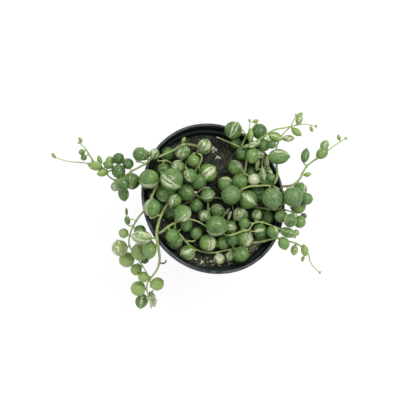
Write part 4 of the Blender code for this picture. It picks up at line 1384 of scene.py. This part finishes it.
@dataclass
class PottingMix:
    """The plug of soil, with clods on top, and the loose bits that lie on it."""

    sides: int = 120
    ring_step: float = 1.5
    clods: Pair = (3.6, 2.4)
    lumps: Pair = (1.1, 1.1)
    crumbs: int = 1000
    fibres: int = 90
    fibre_points: int = 6
    sharp_over: float = 60.0

    def profile(self) -> list[Pair]:
        """Radius and height from the middle of the top, out to the wall, down and back under."""
        edge = pot_radius(SOIL_TOP) - WALL - 0.12
        count = int(edge / self.ring_step)
        rows = [(max(0.4, edge * index / count), SOIL_TOP + SOIL_DOME * (1.0 - (index / count) ** 2))
                for index in range(count + 1)]
        return rows + [on_wall(3.0, WALL + 0.3), (BASE_RADIUS - WALL - 1.4, WALL + GAP), (0.5, WALL + GAP)]

    def build(self) -> Thing:
        """Raise the clods and crumbs of the top by displacement."""
        soil = extruded_rings("potting_mix", self.profile(), self.sides)
        press_oval(soil)
        top = soil.vertex_groups.new(name="top")
        top.add([vert.index for vert in soil.data.vertices if vert.co.z > (SOIL_TOP - 0.01) * MM], 1.0, 'REPLACE')
        finer = soil.modifiers.new("finer", 'SUBSURF')
        finer.subdivision_type = 'SIMPLE'
        finer.levels = finer.render_levels = 1
        for size, height in (self.clods, self.lumps):
            clouds = bpy.data.textures.new(f"lumps_{size:g}", 'CLOUDS')
            clouds.noise_scale = size * MM
            raise_top = soil.modifiers.new(clouds.name, 'DISPLACE')
            raise_top.texture = clouds
            raise_top.texture_coords = 'LOCAL'
            raise_top.direction = 'Z'
            raise_top.strength = height * MM
            raise_top.vertex_group = "top"
        apply_modifiers(soil)
        close_and_face_out(soil)
        smooth(soil, self.sharp_over)
        return soil

    @staticmethod
    def crumb_masters() -> list[Thing]:
        """Three lumpy crumbs of a few faces."""
        masters = []
        for number in range(3):
            clear_selection()
            bpy.ops.mesh.primitive_ico_sphere_add(subdivisions=1, radius=1.0)
            crumb = bpy.context.object
            crumb.name = f"crumb_master_{number}"
            with editing(crumb):
                bpy.ops.mesh.select_all(action='SELECT')
                bpy.ops.transform.vertex_random(offset=0.35, seed=number + 3)
                bpy.ops.mesh.bisect(plane_co=(0.0, 0.0, -0.45), plane_no=UP, clear_inner=True, use_fill=True)
            close_and_face_out(crumb)
            masters.append(crumb)
        return masters

    def scatter(self, lay: Scatter) -> Thing:
        """Loose crumbs all over the soil, most of them small."""
        bits = []
        dice = lay.dice
        for _ in range(self.crumbs):
            angle, reach = dice.uniform(0.0, 2.0 * math.pi), math.sqrt(dice.random())
            x, y = oval(reach * (pot_radius(SOIL_TOP) - WALL - 1.2), angle)
            size = 0.26 + 0.6 * dice.random() ** 2.6
            spread = (size, size * dice.uniform(0.6, 1.3), size * 0.8)
            # painted shade: crumbs under the heart of the plant are toned darker, as if the leaves shade them
            tone = out_of_painted_shade(x, y) * dice.random() ** 2.4
            bits.append(lay.any_bit(x, y, spread, tone))
        return join(bits, "soil_crumbs")

    def strew_fibres(self, lay: Scatter) -> Thing:
        """Thin dry fibres that lie on the soil."""
        runs = []
        dice = lay.dice
        for _ in range(self.fibres):
            angle, reach = dice.uniform(0.0, 2.0 * math.pi), 0.94 * math.sqrt(dice.random())
            x, y = oval(reach * (pot_radius(SOIL_TOP) - WALL - 3.0), angle)
            heading, turn = dice.uniform(0.0, 2.0 * math.pi), dice.uniform(-0.25, 0.25)
            step, thick = dice.uniform(0.5, 1.2), dice.uniform(0.09, 0.17)
            rows = []
            for _ in range(self.fibre_points):
                rows.append((x, y, lay.surface.height(x, y) + thick + 0.1, thick))
                x, y, heading = x + step * math.cos(heading), y + step * math.sin(heading), heading + turn
            runs.append(np.array(rows))
        fibres = tubes("dry_fibres", runs, 0)
        set_tone(fibres, 0.5)
        return fibres


@dataclass
class Litter:
    """What lies loose in the pot: perlite, wood flakes, bark and a dry twig, and a leaf's stub."""

    perlite: tuple[Row, ...] = (
        (0.6, 29.6, 1.5), (2.4, 28.9, 1.4), (1.2, 27.9, 1.0), (3.4, 24.6, 1.1), (4.6, 24.2, 1.0), (2.6, 23.9, 0.6),
        (-6.0, 31.5, 0.5), (7.5, 20.4, 0.45), (-34.5, 2.1, 0.5), (21.0, -29.5, 0.6), (-19.5, 28.8, 0.4))
    chips: tuple[Row, ...] = (
        (-6.3, -34.5, 1.1), (-4.8, -33.6, 0.7), (0.3, -33.9, 0.9), (1.4, -35.2, 0.8), (3.0, -36.1, 1.1),
        (4.4, -35.4, 0.8), (9.1, -33.8, 0.8), (10.4, -34.8, 0.9), (-34.9, 1.8, 1.1), (-32.6, -11.9, 0.9),
        (-30.5, -16.0, 0.7), (13.0, -35.2, 0.7), (-11.0, -33.4, 0.6), (-8.4, -32.2, 0.6), (31.0, 12.5, 0.8))
    flakes: int = 4
    flake_margin: float = 1.2
    bark_middle: Pair = (27.0, -22.8)
    bark_reach: Pair = (11.0, 4.2)
    bark_turn: float = math.radians(34.0)
    bark_bits: int = 320
    bark_margin: float = 1.4
    twig_height: float = 67.4
    twig_end: Pair = (-9.6, 3.4)
    stub_beside: Pair = (-29.0, -34.4)
    stub_tone: float = 0.38

    def perlite_bits(self, lay: Scatter) -> Thing:
        """White perlite at its places on the soil."""
        made = []
        for index, (x, y, size) in enumerate(self.perlite):
            tone = lay.dice.uniform(0.2, 0.9)
            made.append(lay.bit(lay.masters[index % len(lay.masters)], x, y, (size, 0.62 * size, 0.5 * size), tone))
        return join(made, "perlite_bits")

    def bark(self, lay: Scatter) -> Thing:
        """A patch of broken bark, its bits lying the same way."""
        made = []
        dice = lay.dice
        while len(made) < self.bark_bits:
            along, across = dice.gauss(0.0, 0.45), dice.gauss(0.0, 0.45)
            x, y = turned(along * self.bark_reach[0], across * self.bark_reach[1], self.bark_turn)
            x, y = self.bark_middle[0] + x, self.bark_middle[1] + y
            if not over_soil(x, y, self.bark_margin):
                continue
            length = dice.uniform(0.5, 1.4)
            master, tone = dice.choice(lay.masters), dice.random() ** 1.2
            made.append(lay.bit(master, x, y, (length, 0.4 * length, 0.4), tone))
        return join(made, "bark_bits")

    def tan_flakes(self, lay: Scatter) -> Thing:
        """Thin pale flakes of wood, a few together at each place."""
        made = []
        dice = lay.dice
        for x, y, size in self.chips:
            for _ in range(self.flakes):
                long = size * dice.uniform(0.7, 1.6)
                left, up = x + dice.uniform(-1.1, 1.1) * size, y + dice.uniform(-0.9, 0.9) * size
                if over_soil(left, up, self.flake_margin):
                    master, tone = dice.choice(lay.masters), dice.uniform(0.6, 1.0)
                    made.append(lay.bit(master, left, up, (long, 0.36 * long, 0.34 * long), tone))
        return join(made, "tan_flakes")

    def twig(self) -> Thing:
        """The dry brown twig that lies across the middle, forked, with a pale broken end."""
        height = self.twig_height
        stem = smooth_path(((-17.6, -4.6, height - 3.4), (-15.6, -3.4, height - 0.6), (-12.6, -1.7, height),
                            (-10.7, 0.5, height + 0.3), (*self.twig_end, height + 0.5)), 0.5)
        fork = smooth_path(((-10.9, 0.3, height + 0.2), (-9.0, 2.6, height + 0.1), (-6.7, 4.6, height - 0.2),
                            (-4.2, 5.9, height - 0.6), (-1.7, 5.9, height - 1.2)), 0.5)
        knobbly = np.column_stack((stem, 0.46 + 0.12 * np.sin(np.arange(len(stem)) * 1.3)))
        twig = tubes("dry_twig", [knobbly, tapered(fork, 0.4, 0.16)], 2)
        tone_by_place(twig, "bit_tone", self.twig_tone)
        return twig

    def twig_tone(self, x: float, y: float, _: float) -> float:
        """Palest at the broken end, and paler along the fork."""
        if math.hypot(x - self.twig_end[0], y - self.twig_end[1]) < 0.9:
            return 1.0
        return 0.8 * min(1.0, max(0.0, (x + 10.5) / 6.0))

    def stub(self, beside: np.ndarray) -> Thing:
        """The brown stub of a lost leaf on the hanging stem."""
        away = np.hypot(beside[:, 0] - self.stub_beside[0], beside[:, 1] - self.stub_beside[1])
        foot = Vector(beside[int(away.argmin()), :3])
        path = bow(foot, foot + Vector((1.4, -0.2, 0.4)), foot + Vector((3.6, -0.6, 0.2)),
                   foot + Vector((3.9, 1.6, -0.3)))
        stub = tubes("leaf_stub", [tapered(path, 0.6, 0.42)], 2)
        set_tone(stub, self.stub_tone)
        return stub


# ---------------------------------------------------------------- the plant


@dataclass
class LeafMoulds:
    """The leaf forms, each modelled once at a radius of 1 with its tip up and its window on +X."""

    segments: int = 32
    rings: int = 20
    nib: Pair = (0.09, 0.30)
    point: Pair = (0.36, 1.1)
    stalk: Pair = (0.05, 0.30)
    spindle_tip: Pair = (0.12, 0.5)
    groove: float = 0.03

    def build(self) -> dict[Form, Thing]:
        """Every form."""
        return {Form.PEARL: self.round_leaf("pearl", self.nib), Form.POINTED: self.round_leaf("pointed", self.point),
                Form.SPINDLE: self.spindle("spindle", 1.16, 12.0), Form.SLIVER: self.spindle("sliver", 1.12, 24.0)}

    def ball(self, name: str) -> Thing:
        """A ball that remembers its round coordinates however it is shaped afterwards."""
        clear_selection()
        bpy.ops.mesh.primitive_uv_sphere_add(segments=self.segments, ring_count=self.rings, radius=1.0)
        thing = bpy.context.object
        thing.name = name + "_mould"
        places = thing.data.attributes.new("leaf_co", 'FLOAT_VECTOR', 'POINT')
        places.data.foreach_set("vector", points_of(thing).ravel())
        return thing

    @staticmethod
    def draw_out(thing: Thing, end: float, length: float, reach: float) -> None:
        """Pull a pole out to a point, in edit mode, with the skin round it following."""
        pick(thing, lambda co: co.z * end > 0.999)
        bpy.ops.transform.translate(value=(0.0, 0.0, end * length), use_proportional_edit=True,
                                    proportional_edit_falloff='SHARP', proportional_size=reach)

    def press_window(self, thing: Thing) -> None:
        """Press the window's line into the side that faces +X, in edit mode."""
        pick(thing, lambda co: abs(co.y) < 0.02 and co.x > 0.4)
        bpy.ops.transform.translate(value=(-self.groove, 0.0, 0.0))

    def round_leaf(self, name: str, tip: Pair) -> Thing:
        """A round leaf that runs out into its tip, with the start of its petiole.

        Args:
            name: The form's name.
            tip: How far the tip stands out, and how much of the skin follows it.

        Returns:
            The mould.
        """
        thing = self.ball(name)
        with editing(thing):
            self.press_window(thing)
            self.draw_out(thing, 1.0, *tip)
            self.draw_out(thing, -1.0, *self.stalk)
        smooth(thing)
        return thing

    def spindle(self, name: str, taper: float, curve: float) -> Thing:
        """A leaf drawn out at both ends and slightly curved.

        Args:
            name: The form's name.
            taper: How fast it narrows: 1 is round.
            curve: How far it bends along its length, in degrees.

        Returns:
            The mould.
        """
        thing = self.ball(name)
        with editing(thing):
            for ring in range(1, self.rings):
                angle = math.pi * ring / self.rings
                level = math.cos(angle)
                share = math.sin(angle) ** (taper - 1.0)
                pick(thing, lambda co: abs(co.z - level) < 0.001)
                bpy.ops.transform.resize(value=(share, share, 1.0), center_override=(0.0, 0.0, level))
            self.press_window(thing)
            self.draw_out(thing, 1.0, *self.spindle_tip)
        bend = thing.modifiers.new("curve", 'SIMPLE_DEFORM')
        bend.deform_method = 'BEND'
        bend.deform_axis = 'Y'
        bend.angle = math.radians(curve)
        apply_modifiers(thing)
        smooth(thing)
        return thing


@dataclass
class Plant:
    """Dresses the laid strands: for each one its stem with petioles, and its leaves."""

    laid: list[LaidStrand]
    moulds: dict[Form, Thing]
    dice: random.Random
    plump: float = 0.18
    plump_from: float = 5.0
    base_share: float = 0.485
    slim: float = 0.85
    swell: float = 1.3
    swell_reach: float = 0.8
    run_step: float = 0.8
    petiole_age: float = 0.22
    soil_from: float = 62.5
    join_within: float = 6.0
    tuft_leaf: Pair = (0.6, 1.4)

    @staticmethod
    def leaf_axes(placed: PlacedLeaf) -> tuple[Vector, Vector]:
        """A leaf's direction from base to tip, and the way that its window faces."""
        leaf = placed.leaf
        axis = placed.axis.copy()
        if leaf.grain is not None:
            grain, rise = math.radians(leaf.grain), math.radians(leaf.rise)
            heading = Vector((math.cos(grain), math.sin(grain), 0.0))
            side = 1.0 if heading.dot(placed.centre - placed.foot) >= 0.0 else -1.0
            axis = heading * (side * math.cos(rise)) + UP * math.sin(rise)
        else:
            heading = Vector((axis.x, axis.y, 0.0))
        if heading.length < 1e-4:
            heading = Vector((0.0, 1.0, 0.0))
        heading.normalize()
        roll = math.radians(leaf.roll)
        window = UP * math.cos(roll) + heading.cross(UP) * math.sin(roll)
        window = window - axis * window.dot(axis)
        if window.length < 0.05:
            window = heading - axis * heading.dot(axis)
        return axis.normalized(), window.normalized()

    def leaf_frame(self, placed: PlacedLeaf) -> Matrix:
        """Where a leaf's mould goes, in millimetres."""
        leaf = placed.leaf
        axis, window = self.leaf_axes(placed)
        across = axis.cross(window)
        turn = Matrix((window, across, axis)).transposed().to_4x4()
        plump = self.plump * min(1.0, leaf.wide / self.plump_from)
        thick = 0.5 * leaf.wide + plump
        half = 0.5 * (leaf.long or leaf.wide) + plump
        squash = self.dice.uniform(0.93, 1.0) if not leaf.long else 1.0
        return Matrix.Translation(placed.centre) @ turn @ Matrix.Diagonal((thick * squash, thick, half, 1.0))

    def base_of(self, placed: PlacedLeaf) -> Vector:
        """Where a leaf's petiole meets it."""
        axis = self.leaf_axes(placed)[0]
        return placed.centre - axis * (self.base_share * (placed.leaf.long or placed.leaf.wide))

    def lean_of(self, placed: PlacedLeaf) -> float:
        """How far a leaf's cream lies off its window, along the mould's Y."""
        if placed.leaf.grain is None:
            return placed.leaf.lean
        axis, window = self.leaf_axes(placed)
        grain = math.radians(placed.leaf.grain)
        right = Vector((math.sin(grain), -math.cos(grain), 0.0))
        return math.copysign(placed.leaf.lean, placed.leaf.lean * axis.cross(window).dot(right))

    def leaf(self, placed: PlacedLeaf) -> Thing:
        """One leaf, with its pattern in its attributes."""
        thing = copy_at(self.moulds[placed.leaf.shape], self.leaf_frame(placed))
        look = placed.leaf.look.value
        mark(thing, "leaf_look", (look.stripes, look.band, look.slit, self.dice.random()))
        light = look.light + self.dice.uniform(-0.05, 0.05)
        mark(thing, "leaf_tone", (look.bloom, look.youth, light, self.lean_of(placed)))
        return thing

    def tuft(self, stem: np.ndarray, spreads: Sequence[float], longer: float) -> list[Thing]:
        """The unopened leaves at a stem's tip.

        Args:
            stem: The stem's rows, up to where the leaves spring.
            spreads: How far each leaf is turned aside, in radians.
            longer: How far the leaves are drawn out: 1 is a bud.

        Returns:
            The leaves.
        """
        end = Vector(stem[-1, :3])
        ahead = (end - Vector(stem[-5, :3])).normalized()
        made = []
        for index, spread in enumerate(spreads):
            wide, half = (0.5 * size * self.dice.uniform(0.8, 1.15) for size in self.tuft_leaf)
            wide, half = wide * longer ** 0.6, half * longer
            axis = (Matrix.Rotation(spread, 3, 'Z') @ ahead + Vector((0.0, 0.0, 0.25 * (index % 2)))).normalized()
            middle = end + axis * (half + 0.1)
            turn = axis.to_track_quat('Z', 'Y').to_matrix().to_4x4()
            bud = copy_at(self.moulds[Form.SPINDLE],
                          Matrix.Translation(middle) @ turn @ Matrix.Diagonal((wide, wide, 1.35 * half, 1.0)))
            mark(bud, "leaf_look", (0.14 * longer, 0.0, 0.0, self.dice.random()))
            # partly painted light: the long spray leaves get a light over 1, which brightens them towards the pale
            # green
            mark(bud, "leaf_tone", (0.0, 1.0, 0.7 + 0.2 * longer, 0.0))
            made.append(bud)
        return made

    def root(self, number: int) -> np.ndarray:
        """Where a stem comes from: out of the soil, or off the stem that carries it."""
        start = self.laid[number].stem[0]
        if start[2] < self.soil_from:
            return np.array((start[0], start[1], SOIL_TOP - 2.0))
        earlier = np.vstack([other.stem[:, :3] for other in self.laid if other is not self.laid[number]])
        away = np.linalg.norm(earlier - start[:3], axis=1)
        if away.min() < self.join_within:
            return earlier[int(away.argmin())]
        return start[:3] - np.array((0.0, 0.0, 6.0))

    def stem_run(self, number: int) -> np.ndarray:
        """The stem as a smooth run of x, y, z and radius, swollen where its leaves spring."""
        laid = self.laid[number]
        keep = list(range(0, len(laid.stem) - 1, TUBE_STRIDE)) + [len(laid.stem) - 1]
        knots = [self.root(number)] + [laid.stem[index, :3] for index in keep]
        if np.linalg.norm(knots[0] - knots[1]) < 0.4:
            knots = knots[1:]
        path = smooth_path(knots, self.run_step)
        narrowing = np.linspace(0.0, 1.0, len(path)) ** (3.0 if laid.strand.end is StemEnd.SPRAY else 1.0)
        radius = self.slim * (STEM_RADIUS + (STEM_TIP * 0.8 - STEM_RADIUS) * narrowing)
        for placed in laid.leaves:
            away = np.linalg.norm(path - np.array(placed.foot), axis=1)
            radius = radius * (1.0 + (self.swell - 1.0) * np.exp(-(away / self.swell_reach) ** 2))
        return np.column_stack((path, radius))

    def petiole_run(self, placed: PlacedLeaf) -> np.ndarray:
        """A petiole that springs from its stem and bends round to the leaf's base."""
        axis = self.leaf_axes(placed)[0]
        base = self.base_of(placed)
        run = (base - placed.foot).length
        out = (placed.centre - placed.foot).normalized()
        lead = placed.foot + out * (0.35 * run)
        arrive = base - axis * (0.45 * max(run, 0.8))
        thick = min(PETIOLE_RADIUS, 0.09 * placed.leaf.wide + 0.1)
        return tapered(bow(placed.foot, lead, arrive, base), 0.9 * thick + 0.1, thick)

    def vine(self, number: int) -> Thing:
        """A strand's stem and petioles, toned by age."""
        laid = self.laid[number]
        runs = [self.stem_run(number)] + [self.petiole_run(placed) for placed in laid.leaves]
        thing = tubes(laid.strand.name + "_vine", runs, 2)
        samples = np.vstack([run[:, :3] for run in runs])
        stem_count = len(runs[0])
        age = np.full(len(samples), self.petiole_age)
        age[:stem_count] = np.linspace(1.0, 0.0, stem_count) ** 1.2
        cut = np.zeros(len(samples))
        if laid.strand.end is StemEnd.CUT:
            cut[stem_count - 3:stem_count] = 1.0
        seed = self.dice.random()
        nearest = [int(np.linalg.norm(samples - np.array(vert.co) / MM, axis=1).argmin())
                   for vert in thing.data.vertices]
        mark(thing, "stem_tone", [(age[index], cut[index], seed, 1.0) for index in nearest])
        return thing

    def foliage(self, number: int) -> Thing:
        """A strand's leaves as one piece."""
        laid = self.laid[number]
        made = [self.leaf(placed) for placed in laid.leaves]
        if laid.strand.end is StemEnd.TUFT:
            made += self.tuft(laid.stem, (0.0, 0.6, -0.6), 1.0)
        elif laid.strand.end is StemEnd.SPRAY:
            made += self.tuft(laid.stem, (0.0, 0.4, 0.75, 1.1, 1.45, -0.3, 1.8, 0.2), 3.9)
            made += self.tuft(laid.stem[:-4], (0.8, 1.3, 1.8, 2.2, -0.5), 3.7)
        return join(made, laid.strand.name + "_leaves")


# ---------------------------------------------------------------- studio


@dataclass(frozen=True)
class Lamp:
    """A square soft light, with its size and its place in metres."""

    name: str
    watts: float
    size: float
    place: Place
    tint: Colour = (1.0, 1.0, 1.0)


@dataclass
class Studio:
    """A pale floor, soft light from above and the right, and a camera almost straight above."""

    aim: Place = (-3.2, -5.8, 70.0)
    towards_camera: Place = (-0.12, -0.148, 0.9817)
    distance: float = 420.0
    lens: float = 67.79
    sensor: float = 36.0
    floor_radius: float = 2.5
    sky: float = 0.60
    lamps: tuple[Lamp, ...] = (
        Lamp("key_light", 4.0, 0.55, (0.42, 0.30, 0.95), (1.0, 0.985, 0.96)),
        Lamp("fill_light", 1.1, 0.5, (-0.55, 0.15, 0.75), (0.94, 0.97, 1.0)),
        Lamp("glint_light", 1.6, 0.06, (0.10, 0.22, 1.0)))

    def build(self) -> None:
        """Set up the floor, the lights, the surroundings and the camera."""
        self.floor()
        for lamp in self.lamps:
            self.light(lamp)
        self.surroundings()
        self.camera()
        bpy.context.scene.view_settings.view_transform = 'Standard'

    def floor(self) -> None:
        """A wide pale disc that shows as white and keeps a faint shadow."""
        clear_selection()
        bpy.ops.mesh.primitive_circle_add(vertices=64, radius=self.floor_radius, fill_type='NGON')
        floor = bpy.context.object
        floor.name = "floor"
        graph = Graph(bpy.data.materials.new("pale_floor"))
        pale = graph.node('ShaderNodeBsdfDiffuse', {"Color": (0.82, 0.82, 0.82)})
        faint = graph.node('ShaderNodeBsdfDiffuse', {"Color": (0.20, 0.20, 0.20)})
        glow = graph.node('ShaderNodeEmission', {"Color": (1.0, 1.0, 1.0), "Strength": 0.87})
        white = graph.node('ShaderNodeAddShader', {0: faint, 1: glow})
        shown = graph.node('ShaderNodeMixShader', {0: graph.seen(), 1: pale, 2: white})
        graph.feed(graph.nodes["Material Output"], "Surface", shown)
        floor.data.materials.append(graph.owner)

    def light(self, lamp: Lamp) -> None:
        """Hang a lamp that is aimed at the plant."""
        light = bpy.data.lights.new(lamp.name, 'AREA')
        light.energy = lamp.watts
        light.size = lamp.size
        light.color = lamp.tint
        thing = bpy.data.objects.new(lamp.name, light)
        thing.location = lamp.place
        aim = Vector(self.aim) * MM - Vector(lamp.place)
        thing.rotation_euler = aim.to_track_quat('-Z', 'Y').to_euler()
        bpy.context.scene.collection.objects.link(thing)

    def surroundings(self) -> None:
        """A white room that lights softly."""
        world = bpy.data.worlds.new("white_room")
        bpy.context.scene.world = world
        graph = Graph(world)
        back = graph.nodes["Background"]
        graph.feed(back, "Color", (1.0, 1.0, 1.0))
        graph.feed(back, "Strength", graph.seen() * (1.0 - self.sky) + self.sky)

    def camera(self) -> None:
        """The camera, with the pot's far side up."""
        data = bpy.data.cameras.new("camera")
        data.lens = self.lens
        data.sensor_width = self.sensor
        back = Vector(self.towards_camera).normalized()
        right = Vector((0.0, 1.0, 0.0)).cross(back).normalized()
        up = back.cross(right)
        thing = bpy.data.objects.new("camera", data)
        turn = Matrix((right, up, back)).transposed().to_4x4()
        place = Matrix.Translation((Vector(self.aim) + back * self.distance) * MM)
        thing.matrix_world = place @ turn
        bpy.context.scene.collection.objects.link(thing)
        bpy.context.scene.camera = thing


def build_pot_and_soil(dice: random.Random, trailer: np.ndarray) -> None:
    """The pot, its soil and everything loose on it.

    Args:
        dice: Draws every turn, size and tone of the loose bits, in order.
        trailer: The rows of the stem that carries the leaf's stub.
    """
    hand_over(NurseryPot().build(), BlackPlastic().material(), "black_plastic", "pot")
    mix, litter = PottingMix(), Litter()
    soil = mix.build()
    surface = Surface(soil)
    hand_over(soil, Peat().material(), "potting_mix", "soil")
    masters = mix.crumb_masters()
    lay = Scatter(masters, surface, dice)
    crumb = Grain("peat_crumb", (0.030, 0.032, 0.024), (0.26, 0.24, 0.17))
    straw = Grain("dry_fibre", (0.09, 0.08, 0.05), (0.30, 0.26, 0.17))
    white = Grain("perlite", (0.66, 0.60, 0.52), (0.88, 0.83, 0.76), 0.8)
    tan = Grain("tan_wood", (0.26, 0.20, 0.12), (0.86, 0.78, 0.58), 0.85)
    bark = Grain("broken_bark", (0.13, 0.085, 0.055), (0.90, 0.79, 0.58), 0.85)
    hand_over(mix.scatter(lay), crumb.material(), "potting_mix")
    hand_over(mix.strew_fibres(lay), straw.material(), "potting_mix")
    hand_over(litter.perlite_bits(lay), white.material(), "potting_mix")
    hand_over(litter.tan_flakes(lay), tan.material(), "potting_mix")
    hand_over(litter.bark(lay), bark.material(), "potting_mix")
    drop(*masters)
    dry = Grain("dry_stalk", (0.105, 0.070, 0.042), (0.84, 0.78, 0.66), 0.75, 1100.0).material()
    hand_over(litter.twig(), dry, "young_stem")
    hand_over(litter.stub(trailer), dry, "young_stem")


def build_plant(plant: Plant, nodes: Sequence[str]) -> None:
    """Every strand's stem and leaves, each standing for its own solids."""
    stem_skin, leaf_skin = StemSkin().material(), LeafSkin().material()
    for number, laid in enumerate(plant.laid):
        name = laid.strand.name
        hand_over(plant.vine(number), stem_skin, "young_stem", name + "_stem")
        pearls = [node for node in nodes if node.startswith(name + "_pearl_")]
        hand_over(plant.foliage(number), leaf_skin, "pearl_leaf", *pearls, name + "_stem")


def main() -> None:
    """Load the frame, lay the plant and build every piece in order."""
    logging.basicConfig(level=logging.INFO, format="%(message)s")
    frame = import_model()
    dice = random.Random(7)
    laid = lay_out(Bed())
    trailer = next(strand for strand in laid if strand.strand.name == "trailer")
    build_pot_and_soil(dice, trailer.stem)
    moulds = LeafMoulds().build()
    build_plant(Plant(laid, moulds, random.Random(12)), sorted(frame["nodes"]))
    drop(*moulds.values())
    Studio().build()


if __name__ == "__main__":
    main()
